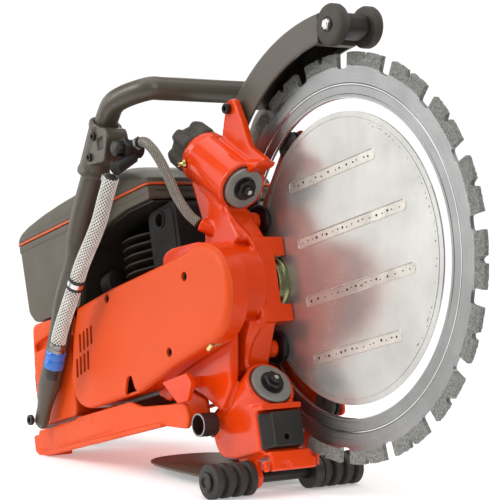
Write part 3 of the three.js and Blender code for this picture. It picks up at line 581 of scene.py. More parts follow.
def build_ring():
    part("ring_core", [ring_core()], RING_STEEL, "blade", ("ring_blade",), sharp=28, origin=(0, 0, 0))
    segments = [diamond_segment(i * 20 + RING["phase"]) for i in range(RING["count"])]
    part("diamond_segments", segments, SEGMENT, "blade", bevel=0.35, sharp=50)
    tracks = []
    for radius, wire in ((RING["inner"] + 1.0, 0.7), (155.9, 0.75)):
        for side in (-1, 1):
            loop = [(radius + wire * r, side * 1.25 + wire * y)
                    for r, y in ((-1, 0), (-0.6, -0.75), (0.6, -0.75), (1, 0), (0.6, 0.75), (-0.6, 0.75))]
            tracks.append(revolve(loop, (0, 0, 0), steps=220, closed=True))
    part("ring_tracks", tracks, BRIGHT, "blade")


def build_disc():
    """Fixed inner disc: pressed slots with a raised lip, drilled along their length. The holes are not cut:
    small dark discs stand in for them as painted shade.
    """
    y0, y1 = DISC["y0"], DISC["y1"]
    edge = [polar(DISC["radius"], 360 * k / 160) for k in range(160)]
    cuts = [block(-146, DRIVE_X, -3, 5, -30, 30), rod((DRIVE_X, -3, 0), (DRIVE_X, 5, 0), 30, 64)]
    for side in (1, -1):
        x, z = polar(ROLLER["at"], side * ROLLER["angle"])
        cuts.append(rod((x, -4, z), (x, 6, z), ROLLER["radius"] + 1.6, 40))
    cuts.append(revolve([(126.2, y0 + 0.5), (126.2, y0 - 1), (127.4, y0 - 1), (127.0, y0 + 0.45)],
                        (0, 0, 0), steps=160, closed=True))
    floors, lips, holes = [], [], []
    for z, x0, x1 in ((81.3, -67, 61), (27.7, -66, 92), (-27.7, -66, 92), (-81.3, -67, 61)):
        groove = rounded([(x0, z - 5), (x1, z - 5), (x1, z + 5), (x0, z + 5)], 5, 8)
        cuts.append(prism(groove, y0 - 1, y0 + 0.7))
        floors.append(prism([Vector(p) for p in groove], y0 + 0.6, y0 + 1.0))
        rim = [(p[0], y0, p[1]) for p in groove]
        lips.append(sweep(rim + rim[:2], 0.42, 8))
        # Painted shade: dark discs raised on each slot floor stand in for the drilled holes, which are not
        # cut.
        x = x0 + 7
        while x < x1 - 4:
            at = z + random.uniform(-0.8, 0.8)
            holes.append(rod((x, y0 + 0.3, at), (x, y0 + 0.9, at), random.uniform(0.5, 1.25), 12))
            x += random.uniform(5, 11)
    part("water_disc", [prism(edge, y0, y1)], DISC_STEEL, stands_for=("centre_disc",), cut=cuts,
         bevel=0.25, sharp=30, origin=(0, 0, 0))
    # Painted shade: small dark discs near the rim stand in for more holes, also not cut.
    for k in range(34):
        low, high = (-50, 62) if k % 2 else (-64, 74)
        x, z = polar(random.uniform(122, 124.5), random.uniform(low, high))
        holes.append(rod((x, y0 - 0.12, z), (x, y0 + 0.3, z), random.uniform(0.35, 0.7), 10))
    part("slot_floors", floors, SLOT_STEEL)
    part("slot_lips", lips, SLOT_STEEL)
    # These dark discs are painted shade for the dark insides of the holes.
    part("slot_hole_shade", holes, DARK_STEEL)


def build_drive():
    axis = (DRIVE_X, 0, 0)
    wheel = revolve([(8.3, -10.3), (27.5, -10.3), (28.5, -9.3), (28.5, -3.5), (26.2, -2.5), (25.7, 0),
                     (26.2, 2.5), (28.5, 3.5), (28.5, 9.3), (27.5, 10.3), (8.3, 10.3)], axis, steps=72,
                    closed=True)
    part("drive_wheel_turned", [wheel], WHEEL_STEEL, "drive", ("drive_wheel",), bevel=0.3)
    shaft = rod((DRIVE_X, -86, 0), (DRIVE_X, 9, 0), 8, 40, 0.8)
    part("drive_shaft_turned", [shaft], STEEL, "drive", ("drive_shaft",))
    for name, centre, radius, bore, body, node in (
            ("pulley_driven", DRIVE_X, 23.5, SHAFT_BORE, "drive", "driven_pulley"),
            ("pulley_clutch", ENGINE[0], 19.0, SHAFT_BORE, "clutch", "clutch_pulley")):
        z = 0 if node == "driven_pulley" else ENGINE[1]
        profile = [(bore, -85), (radius + 4.5, -85), (radius + 4.5, -83.6), (radius, -83), (radius, -74),
                   (radius + 4.5, -73.4), (radius + 4.5, -72), (bore, -72)]
        look = ALLOY if body == "drive" else STEEL
        part(name, [revolve(profile, (centre, 0, z), steps=56, closed=True)], look, body, (node,),
             bevel=0.3)


def belt_loop(offset, steps=24):
    """The belt's path: two arcs joined by their outer tangents."""
    radius_a, radius_b = 23.5 + offset, 19.0 + offset
    dx, dz = ENGINE[0] - DRIVE_X, ENGINE[1]
    heading = math.atan2(dz, dx)
    lean = math.acos((radius_a - radius_b) / math.hypot(dx, dz))
    loop = []
    for k in range(steps + 1):
        a = heading + lean + (math.tau - 2 * lean) * k / steps
        loop.append((DRIVE_X + radius_a * math.cos(a), radius_a * math.sin(a)))
    for k in range(steps + 1):
        a = heading - lean + 2 * lean * k / steps
        loop.append((ENGINE[0] + radius_b * math.cos(a), ENGINE[1] + radius_b * math.sin(a)))
    return loop


def build_belt():
    outer, inner = belt_loop(3.9), belt_loop(0.3)
    y0, y1, count = BELT["y0"], BELT["y1"], BELT["ribs"]
    ribs = []
    for k in range(count):
        a = y0 + (y1 - y0) * k / count
        b = y0 + (y1 - y0) * (k + 1) / count
        ribs += [(inner, a + 0.1), (belt_loop(1.3), (a + b) / 2), (inner, b - 0.1)]
    rings = [[(x, y, z) for x, z in loop] for loop, y in ribs]
    rings += [[(x, y, z) for x, z in outer] for y in (y1, y0)]
    part("ribbed_belt", [loft(rings, closed=True)], RUBBER, stands_for=("drive_belt",), sharp=40)


def build_rollers():
    for side, label in ((1, "upper"), (-1, "lower")):
        x, z = polar(ROLLER["at"], side * ROLLER["angle"])
        bore = ROLLER["pin"] + 0.3
        profile = [(bore, -7), (14.5, -7), (16, -5.8), (16, -2.9), (12.2, -2.3), (11.9, -1.8), (11.9, 2.3),
                   (bore, 2.3)]
        part(f"guide_wheel_{label}", [revolve(profile, (x, 0, z), steps=48, closed=True)], DARK_STEEL,
             f"guide_{label}", (f"guide_roller_{label}",), bevel=0.25)
        part(f"guide_bolt_{label}", [socket_screw((x, -21.4, z), (0, -1, 0), 6.5, 4)], DARK_STEEL)
        part(f"guide_pin_{label}", [rod((x, -9, z), (x, 3.5, z), ROLLER["pin"], 48, 0.4)], DARK_STEEL)
        x, z = polar(SUPPORT["at"], side * SUPPORT["angle"])
        profile = [(bore, 2.6), (13, 2.6), (14, 3.6), (14, 5.6), (11, 6.6), (11, 8.5), (14, 9.5),
                   (14, 11.5), (bore, 11.5)]
        part(f"support_wheel_{label}", [revolve(profile, (x, 0, z), steps=48, closed=True)], BLACK,
             f"support_{label}", (f"support_roller_{label}",), bevel=0.3)
        part(f"support_pin_{label}", [rod((x, 2.2, z), (x, 13, z), ROLLER["pin"], 48, 0.4)], DARK_STEEL)
        head = hexagon((x, 18.2, z), (0, 1, 0), 12, 5)
        part(f"support_bolt_{label}", [head], DARK_STEEL, bevel=0.3)


def arm_axis(arm):
    near, far = Vector(arm[0]), Vector(arm[1])
    return near, far, (far - near).normalized()


def build_arm_casting():
    upper_near, upper_far, upper_dir = arm_axis(UPPER_ARM)
    lower_near, lower_far, lower_dir = arm_axis(LOWER_ARM)
    upper_web = rounded([(-156, 112), (-108, 72), (-96, 52), (-88, 38), (-150, 30), (-143, 60)], 6)
    lower_web = rounded([(-170, -108), (-112, -80), (-98, -54), (-88, -38), (-150, -30), (-160, -60)], 6)
    lug = rounded([(-128, 126), (-119, 143), (-103, 176), (-91, 176), (-82, 149), (-76, 124), (-54, 106),
                   (-60, 101), (-99, 100)], 3)
    shoulder = rounded([(-128, 122), (-121, 138), (-104, 126), (-84, 112), (-57, 105), (-62, 101),
                        (-99, 98)], 2)
    rear_plate = rounded([(-150, 34), (-222, 24), (-228, -62), (-238, -84), (-219, -94), (-192, -80),
                          (-160, -96), (-132, -116), (-112, -96), (-96, -36)], 5)
    neck = rounded([(-197, 20), (-195, 46), (-180, 50), (-131, 46), (-110, 38), (-110, 0)], 8)
    foot_block = rounded([(-146, -104), (-164, -138), (-155, -156), (-132, -160), (-89, -160), (-89, -118)],
                         [8, 8, 8, 3, 2, 2])
    upper_rim = smooth_path([(-112, -44, 92), (-104, -48, 70), (-97, -45, 54), (-91, -39, 42),
                             (-89, -33, 26), (-93, -27, 8)])
    lower_rim = smooth_path([(-112, -44, -92), (-106, -48, -72), (-100, -45, -56), (-93, -39, -44),
                             (-89, -33, -26), (-93, -27, -8)])
    solids = [
        rod((DRIVE_X, -67.5, 0), (DRIVE_X, -32, 0), 40, 96),
        revolve([(0, -67.5), (41.2, -67.5), (41.2, -61.5), (39, -60)], (DRIVE_X, 0, 0), steps=96),
        block(-152, -87, -33, -5, -40.5, 40.5),
        block(-136, -87, -6, -0.4, -40.5, 40.5),
        prism(rounded([(-152, -40.5), (-87, -40.5), (-87, 40.5), (-152, 40.5)], 5), -37, -30),
        rod(upper_near, upper_far, ARM["radius"], 72),
        rod(lower_near, lower_far, ARM["radius"], 72),
        revolve([(0, 0), (26.2, 0), (26.2, 5), (25, 7)], upper_far, -upper_dir, 72),
        prism(upper_web, -50, -20),
        prism(lower_web, -50, -20),
        sweep(upper_rim, 2.6, 16),
        sweep(lower_rim, 2.6, 16),
        prism(lug, -33, -25),
        prism(shoulder, -38, -18),
        prism(rear_plate, -66, -57),
        prism(neck, -67.8, -59.8),
        prism(foot_block, -58, -14),
        rod((-131, -46, 56), (-138.5, -57, 64.5), 6.5, 32),
        block(-132, -80, -54.5, -8, -164, -160),
        block(-84, -80, -54.5, -8, -177, -160),
        block(-85, -80, -62, -4, -178, -168),
        block(-92, -78, -58, -13, -122.5, -117),
        rod((AXLE[0], -53, AXLE[1]), (AXLE[0], -46, AXLE[1]), 11, 40),
        block(-127, -107, -53, -46, -180, -160),
    ]
    for side in (1, -1):
        x, z = polar(ROLLER["at"], side * ROLLER["angle"])
        solids.append(rod((x, -21, z), (x, -8, z), 9, 40))
    for start, end in NIPPLES:
        solids.append(rod(start, end, 6.3, 32))
    window = rounded([(-97, -24), (-80, -24), (-80, 22), (-97, 22)], 1)
    cuts = [
        rod(upper_near - upper_dir * 3, upper_near + upper_dir * 80, ARM["bore"], 64),
        rod(lower_near - lower_dir * 3, lower_near + lower_dir * 76, ARM["bore"], 64),
        rod(upper_far - upper_dir * 30, upper_far + upper_dir * 4, 7, 32),
        rod((DRIVE_X, -70, 0), (DRIVE_X, 2, 0), 17, 64),
        rod((DRIVE_X, -12.5, 0), (DRIVE_X, 2, 0), 30.2, 72),
        prism(window, -12.4, 2),
        rod((AXLE[0], -60, AXLE[1]), (AXLE[0], -40, AXLE[1]), 6.4, 32),
        block(-82.5, -78, -42, -34, -179, -170),
        block(-88, -78, -57, -54, -179, -166),
        rod((-94, -80, -52), (-94, -64, -52), 3, 16),
    ]
    casting("cast_arms", solids, ORANGE, stands_for=("arm_casting",), cut=cuts, voxel=1.15, soften=4)
    hook = rounded([(-189, -78), (-167, -101), (-149, -101), (-139, -86), (-146, -76)], 2)
    part("hook_lug", [prism(hook, -90, -85.4), block(-176, -158, -86, -58, -88, -78)], ORANGE, bevel=0.9,
         segments=3)
    far_side = rounded([(-226, 40), (-150, 62), (-78, 134), (-50, 136), (-50, 110), (-118, 40), (-112, 0),
                        (-118, -40), (-50, -110), (-50, -136), (-78, -134), (-96, -150), (-103, -181.5),
                        (-131, -181.5), (-150, -130), (-226, -60)], 7)
    rib = rounded([(-215, 32), (-150, 50), (-70, 126), (-60, 122), (-128, 44), (-122, 0), (-128, -44),
                   (-60, -122), (-70, -126), (-104, -148), (-128, -170), (-150, -118), (-215, -52)], 5)
    pocket = rounded([(-205, 22), (-155, 38), (-136, 30), (-136, -30), (-155, -60), (-205, -44)], 8)
    carrier = [prism(far_side, 12, 15.5), prism(rib, 14, 18),
               rod((AXLE[0], 12, AXLE[1]), (AXLE[0], 18, AXLE[1]), 14, 48)]
    for sign in (1, -1):
        x, z = polar(SUPPORT["at"], sign * SUPPORT["angle"])
        carrier.append(rod((x, 12, z), (x, 18, z), 11, 40))
    holes = [rod((AXLE[0], 10, AXLE[1]), (AXLE[0], 20, AXLE[1]), 6.4, 32), prism(pocket, 15.6, 20)]
    casting("cast_carrier", carrier, ORANGE, stands_for=("far_carrier",), cut=holes, voxel=1.2, soften=4)


def build_arm_fittings():
    """Caps, nuts, studs, springs, bearings, the lobed knob and the grease nipples."""
    for label, arm in (("upper", UPPER_ARM), ("lower", LOWER_ARM)):
        near, far, along = arm_axis(arm)
        cap = revolve([(0, -3), (19.6, -3), (20.3, -2.4), (20.3, 3), (0, 3)], near, along, 72)
        part(f"cap_{label}", [cap], CAP, stands_for=(f"cylinder_cap_{label}",))
        part(f"cap_nut_{label}", [hexagon(near - along * 9, along, 17.5, 6)], DARK_STEEL, bevel=0.5)
        washer = revolve([(0, -4.2), (11.5, -4.2), (11.5, -3), (0, -3)], near, along, 40)
        stud = revolve([(0, -12.6), (3.8, -12.6), (5.4, -11.2), (5.4, -8), (0, -8)], near, along, 32)
        part(f"cap_stud_{label}", [stud, washer], DARK_STEEL)
        tip = revolve([(0, -12.9), (2.2, -12.8), (2.2, -12.2), (0, -12.2)], near, along, 20)
        part(f"stud_tip_{label}", [tip], BRIGHT)
        length = (far - near).length - 26
        coil = []
        turns = 9
        side, other, axis = frame_of(along)
        for k in range(turns * 18 + 1):
            a = math.tau * k / 18
            coil.append(near + axis * (7.5 + (length - 3) * k / (turns * 18))
                        + (side * math.cos(a) + other * math.sin(a)) * 15)
        part(f"coil_spring_{label}", [sweep(coil, 1.6, 10)], BRIGHT,
             stands_for=(f"tension_spring_{label}",))
    for name, y0 in (("near", -64), ("far", -27)):
        races = [sleeve(8.3, 10.6, y0, y0 + 12, (DRIVE_X, 0, 0)),
                 sleeve(13.8, 16.3, y0, y0 + 12, (DRIVE_X, 0, 0)),
                 sleeve(10.6, 13.8, y0 + 1, y0 + 11, (DRIVE_X, 0, 0))]
        part(f"ball_bearing_{name}", races, STEEL, stands_for=(f"bearing_{name}",))
    for (_, end), label in zip(NIPPLES, ("upper", "lower")):
        base = Vector(end)
        outward = Vector((-0.75, -0.66, 0))
        profile = [(4.4, 0), (4.4, 2.5), (2.6, 3.2), (2.2, 6), (3, 7), (2.4, 8.6), (0, 9)]
        part(f"grease_nipple_{label}", [revolve(profile, base, outward, 20)], BRASS)
    build_knob()


def build_knob():
    """Six-lobed spring knob with straight flutes and rounded rims."""
    far, outward = arm_axis(UPPER_ARM)[1:]
    base = far + outward
    side, other, _ = frame_of(outward)
    depth = KNOB["depth"]
    levels = [(0, -4.5), (1.5, -1.2), (3.5, 0), (depth - 7, -0.4), (depth - 3, -1.6), (depth - 0.8, -4),
              (depth, -7)]
    steps = 144

    def lobed(grow, _along, k):
        wave = math.cos(math.radians(KNOB["lobes"] * 360 * k / steps))
        return KNOB["radius"] + KNOB["lobe"] * math.tanh(2.4 * wave) + grow

    crown = fluted(levels, lobed, base, side, other, outward, steps)
    stem = rod(base - outward * 16, base + outward, 6, 32)
    part("lobed_knob", [crown, stem], WHEEL_BLACK, "spring_knob", ("tension_knob",), sharp=50)
    collar = revolve([(0, 0.4), (23.4, 0.4), (23.4, 3), (0, 3)], base, outward, 64)
    part("knob_collar", [collar], DARK_STEEL, "spring_knob")


def build_guard():
    def outer(angle):
        return 209 + (117 - angle) * 11 / 35

    def inner(angle):
        return 174 + (121 - angle) * 19 / 42

    def section(y, inset, start=123.0, end=80.0, steps=44):
        top = [polar(outer(start + (end - start) * k / steps) - inset, start + (end - start) * k / steps)
               for k in range(steps + 1)]
        low = [polar(inner(end + (start - end) * k / steps), end + (start - end) * k / steps)
               for k in range(steps + 1)]
        return [(x, y, z) for x, z in top + low]

    wall = [(-22, 4.2), (-21.6, 2.2), (-20.4, 0.8), (-18.6, 0.1), (-17, 0)]
    rings = [section(y, inset) for y, inset in wall] + [section(-y, inset) for y, inset in reversed(wall)]
    hollow_top = [polar(outer(a) - 2.5, a) for a in [124 - k for k in range(43)]]
    hollow_low = [polar(inner(a) - 6, a) for a in [82 + k for k in range(43)]]
    x, z = GUARD_AXLE
    tongue = rounded([polar(203, 86), polar(219, 86), (x - 6, z + 14), (x + 12, z + 8), (x + 13, z - 9),
                      (x - 2, z - 13)], 7, 8)
    part("guard_channel", [loft(rings)], GREY_PAINT, stands_for=("blade_guard",),
         cut=[prism(hollow_top + hollow_low, -19.5, 19.5)], bevel=0.5, segments=2)
    part("guard_tongue", [prism(tongue, -11.5, 11.5)], BLACK, cut=[rod((x, -30, z), (x, 30, z), 5.3, 32)],
         bevel=1.2, segments=3)
    edge = [polar(inner(122.5 - 42 * k / 40) + 1.6, 122.5 - 42 * k / 40) for k in range(41)]
    part("guard_hem_near", [sweep([(px, -21.2, pz) for px, pz in edge], 1.3, 10)], GREY_PAINT)
    part("guard_hem_far", [sweep([(px, 21.2, pz) for px, pz in edge], 1.3, 10)], GREY_PAINT)
    liner = [polar(outer(a) - 4.5, a) for a in [120 - 2.0 * k for k in range(19)]]
    liner_low = [polar(inner(a) + 3, a) for a in [84 + 2.0 * k for k in range(19)]]
    for label, y0 in (("near", -19.3), ("far", 17.8)):
        part(f"guard_liner_{label}", [prism(liner + liner_low, y0, y0 + 1.5)], BLACK, bevel=0.4)
    roof = [polar(outer(a) - 2.7, a) for a in [120 - 2.0 * k for k in range(19)]]
    roof_low = [polar(outer(a) - 4.2, a) for a in [84 + 2.0 * k for k in range(19)]]
    part("guard_liner_top", [prism(roof + roof_low, -19, 19)], BLACK)
    part("guard_pin", [rod((x, -26.5, z), (x, 26.5, z), 5, 40)], BRIGHT, stands_for=("guard_axle",))
    for side, label, body in ((-1, "near", "guard_wheel_a"), (1, "far", "guard_wheel_b")):
        profile = [(5.3, 14), (16, 14), (18, 14.6), (19, 16.4), (19, 22.2), (18.3, 23.6), (16.6, 24.4),
                   (11, 24.9), (7.2, 25), (7.2, 24.2), (5.3, 24.2)]
        wheel = revolve([(r, side * y) for r, y in profile], (x, 0, z), steps=72, closed=True)
        part(f"guard_wheel_tyre_{label}", [wheel], WHEEL_BLACK, body, (f"guard_wheel_{label}",), sharp=40)
        part(f"guard_bolt_{label}", [hexagon((x, side * 24.4, z), (0, side, 0), 9, 4),
                                     rod((x, side * 24.4, z), (x, side * 28.8, z), 3.2, 24, 0.4)], BRIGHT)
    part("lug_bolt", [socket_screw((-100, -33.2, 168), (0, -1, 0), 5, 5)], DARK_STEEL)


def build_foot():
    x, z = AXLE
    for label, y0, y1, body in (("near", -101, -55, "foot_roller_a"), ("far", 21, 68, "foot_roller_b")):
        pitch = (y1 - y0) / 3.6
        profile = [(6.3, y0)]
        for i in range(4):
            a, b = y0 + i * pitch, min(y0 + i * pitch + pitch * 0.62, y1)
            if i:
                profile += [(11.5, a - 0.4), (14.6, a)]
            else:
                profile += [(13.5, a)]
            profile += [(15.9, a + 1.0), (16, (a + b) / 2), (15.9, b - 1.0)]
            profile += [(14.6, b), (11.5, b + 0.4)] if i < 3 else [(13.5, b)]
        profile.append((6.3, y1))
        part(f"foot_wheel_{label}", [revolve(profile, (x, 0, z), steps=64, closed=True)], RUBBER, body,
             (f"foot_roller_{label}",), sharp=50)
    axle = [rod((x, -102, z), (x, 69, z), 6, 40), rod((x, -104.5, z), (x, -102, z), 9, 40, 0.8),
            rod((x, 69, z), (x, 71.5, z), 9, 40, 0.8)]
    part("axle_rod", axle, DARK_STEEL, stands_for=("roller_axle",),
         cut=[rod((x, -106, z), (x, -103.3, z), 5, 6)],
         bevel=0.3)
    part("tube_across", [sleeve(9, 11, -84, -67, (-146, 0, -125), steps=64, chamfer=0.5)], BLACK_METAL,
         stands_for=("cross_tube",))
    part("tube_rim", [sleeve(9.6, 11, -84.3, -83.7, (-146, 0, -125), steps=64, chamfer=0.2)], CAP)
    rings = []
    for px, y0, y1, z0, z1 in ((-88.7, -57, -14, -158, -125), (-86.5, -57, -14, -158, -125),
                               (-78.4, -48, -15, -156, -124.6)):
        shape = rounded([(y0, z0), (y1, z0), (y1, z1), (y0, z1)], 2.5, 4)
        rings.append([(px, p[0], p[1]) for p in shape])
    part("rubber_block", [loft(rings)], BLACK, stands_for=("lower_pad",),
         cut=[rod((-90, -34, -148), (-70, -34, -148), 2.8, 24)], bevel=1.0, segments=3)
    part("far_hub", [sleeve(6.4, 15.8, 10.4, 20.6, (x, 0, z), steps=64)], BLACK, bevel=1.0, segments=3)
    build_flap()


def build_flap():
    """Rubber leaf, level with the ground, with a slow sag and a rounded rear end."""
    outline = smooth_path([(-145, -66, 0), (-200, -66, 0), (-248, -64, 0), (-286, -54, 0), (-308, -32, 0),
                           (-315, -2, 0), (-306, 26, 0), (-284, 42, 0), (-250, 46, 0), (-200, 44, 0),
                           (-145, 42, 0)], 6)
    rings = []
    centre = Vector((-225, -10, 0))
    for lift, shrink in ((-2.9, 0.985), (-2.3, 1.0), (-0.7, 1.0), (0, 0.985)):
        ring = []
        for p in outline:
            q = centre + (p - centre) * shrink
            sag = 1.6 * math.sin(math.pi * min(1, max(0, (q.y + 66) / 112)))
            ring.append((q.x, q.y, -213.5 - q.x * math.tan(TILT) + lift - sag + 1.0))
        rings.append(ring)
    part("slurry_flap", [loft(rings)], GREY, stands_for=("splash_flap",), sharp=50)
    tab = rounded([(-166, -174), (-148, -179), (-144, -161), (-158, -158)], 3)
    part("flap_tab", [prism(tab, -52, -28)], GREY, bevel=0.8)


# ---------------------------------------------------------------- belt guard

def belt_guard_outline(offset):
    points = [(-337 + offset, 23 - offset), (-264, 29 - offset), (-168, 32 - offset)]
    radius = 47 - offset
    for k in range(41):
        x, z = polar(radius, 112 - 204 * k / 40)
        points.append((-106 + x, -9 + z))
    points += [(-168, -66 + offset), (-232, -80 + offset), (-330, -82 + offset)]
    for k in range(1, 11):
        t = k / 10
        points.append(((-330) * (1 - t) ** 2 + (-366 + offset) * (2 * t * (1 - t) + t * t),
                       (-82 + offset) * (1 - t) ** 2 + (-80 + offset) * 2 * t * (1 - t) - 47 * t * t))
    points += [(-352 + offset, -7)]
    return points


def build_belt_guard():
    levels = [(-84.6, 0.2), (-86.4, 0.6), (-88.2, 1.8), (-89.4, 3.8), (-89.9, 6), (-90, 8)]
    wall = prism(belt_guard_outline(0), -84.5, -68)
    face = loft([[(x, y, z) for x, z in belt_guard_outline(o)] for y, o in levels])
    cuts = [prism(belt_guard_outline(2.5), -87.2, -60)]
    for row in range(2):
        for i in range(4):
            x, z = -346 + row * 12 + i * 8, -38 + row * 24 + i * 1.5
            slot = rounded([(x - 5, z - 9.5), (x - 0.6, z - 9.5), (x + 2.6, z + 9.5), (x - 1.8, z + 9.5)],
                           1.6, 3)
            cuts.append(prism(slot, -92, -80))
    for x, z, radius in ((-272, 20, 4.6), (-170, -52, 4.6), (-128, 12, 4.6)):
        cuts.append(rod((x, -92, z), (x, -85, z), radius, 32))
    cuts.append(prism(rounded([(-262, -82), (-252, -62), (-243, -62), (-238, -82)], 4, 5), -92, -85.5))
    part("belt_cover", [face], SATIN, stands_for=("belt_guard",), cut=cuts, bevel=0.5, sharp=45)
    part("belt_cover_wall", [wall], ORANGE, cut=[prism(belt_guard_outline(2.5), -90, -60)], bevel=0.8,
         segments=3)
    screws = []
    for x, z in ((-272, 20), (-170, -52), (-128, 12)):
        screws.append(socket_screw((x, -85.5, z), (0, -1, 0), 4.0, 2.6))
    part("belt_cover_screws", screws, DARK_STEEL)
    part("adjuster", [rod((-108, -68, -54), (-108, -84, -58), 1.6, 16),
                      rod((-104, -84.5, -56), (-112, -84.5, -60), 2.4, 20, 0.6)], BRASS)
    part("carrier_bolt", [socket_screw((-104, -68.6, -44), (0, -1, 0), 5, 5)], DARK_STEEL)


# ---------------------------------------------------------------- engine and housings

def cover_height(x):
    """Height of the lid's ridge above the seam."""
    spots = [(-474, 0), (-472, 7), (-466, 14), (-450, 19.5), (-416, 25), (-375, 28.5), (-335, 30),
             (-285, 30.5), (-246, 29), (-222, 20), (-203, 9), (-195, 4), (-193, 0)]
    for (xa, za), (xb, zb) in zip(spots, spots[1:]):
        if xa <= x <= xb:
            t = (x - xa) / (xb - xa)
            return za + (zb - za) * t
    return 0


def build_covers():
    half = 75
    rings = []
    for i in range(49):
        s = i / 48
        x = -474 + 281 * (0.5 - 0.5 * math.cos(math.pi * s)) if i not in (0, 48) else (-474, -193)[i == 48]
        rise = max(cover_height(x), 0.4)
        width = half * (1 - 0.045 * abs(2 * s - 1) ** 8)
        ring = []
        for k in range(41):
            angle = math.pi * k / 40
            c, w = math.cos(angle), math.sin(angle)
            y = -width * math.copysign(abs(c) ** 0.42, c)
            z = 121 + rise * abs(w) ** 0.42
            ring.append((x, y, z))
        ring += [(x, width * 0.98, 118.5), (x, -width * 0.98, 118.5)]
        rings.append(ring)
    part("filter_lid", [loft(rings)], GREY, stands_for=("filter_cover",), sharp=60)
    band = rounded([(-475, -76), (-192, -76), (-192, 76), (-475, 76)], 9, 6)
    part("seam_band", [slab(band, (0, 0, 117.6), (1, 0, 0), (0, 1, 0), 2.6)], SEAM,
         stands_for=("cover_seam",), bevel=0.6, segments=3)
    lip = rounded([(-474, -75.6), (-193, -75.6), (-193, 75.6), (-474, 75.6)], 9, 6)
    part("cover_lip", [slab(lip, (0, 0, 109), (1, 0, 0), (0, 1, 0), 8)], GREY, bevel=1.5, segments=3)
    upper_lip = rounded([(-474.5, -75.2), (-193, -75.2), (-193, 75.2), (-474.5, 75.2)], 9, 6)
    part("lid_lip", [slab(upper_lip, (0, 0, 120.4), (1, 0, 0), (0, 1, 0), 5)], GREY, bevel=1.5, segments=3)
    side = rounded([(-472, 116), (-468, 42), (-456, 29), (-352, 27), (-342, 60), (-328, 84), (-290, 96.5),
                    (-240, 103.5), (-193, 103.5), (-193, 116)], [6, 4, 8, 6, 6, 10, 14, 10, 3, 3], 5)
    inset = [(-75, 6), (-73.8, 2.4), (-71.5, 0.6), (-69, 0)]
    rings = []
    for y, o in inset + [(-y, o) for y, o in reversed(inset)]:
        ring = []
        for p in side:
            pull = o * min(1, max(0, (-440 - p[0]) / 20)) if p[0] < -440 else 0
            ring.append((p[0] + pull, y, p[1]))
        rings.append(ring)
    inside = [(-466, 130), (-466, 44), (-452, 33), (-354, 31), (-346, 62), (-331, 88), (-291, 100.5),
              (-241, 107.5), (-198, 107.5), (-198, 130)]
    arch = [(-350, 27.5), (-341, 59), (-327.4, 82.6), (-289.6, 95.2), (-239.8, 102.2), (-195, 102.2)]
    lining = arch + [(x + 1.4, z - 1.6) for x, z in reversed(arch)]
    part("arch_lining", [prism(lining, -70.5, 70.5)], BLACK,
         cut=[rod((-258, -20, 80), (-258, -20, 120), 9, 32)])
    part("lower_housing", [loft(rings)], GREY, stands_for=("cover_lower",), cut=[prism(inside, -71, 71)],
         bevel=1.2, segments=3, sharp=45)
    part("filter_element", [prism(rounded([(-455, 50), (-455, 110), (-365, 110), (-365, 50)], 8), -60, 60)],
         BLACK, stands_for=("air_filter",), bevel=1.5)
    profile = [(0, 0)]
    for i in range(6):
        base = i * 2.7
        profile += [(14, base + 0.3), (14.3, base + 0.9), (14, base + 1.4), (11.6, base + 1.9),
                    (11.6, base + 2.5)]
    profile += [(0, 16.5)]
    part("bellows", [revolve(profile, (-338.5, -42, 46), (1, 0, 0), 48)], BLACK,
         stands_for=("intake_bellows",),
         sharp=60)


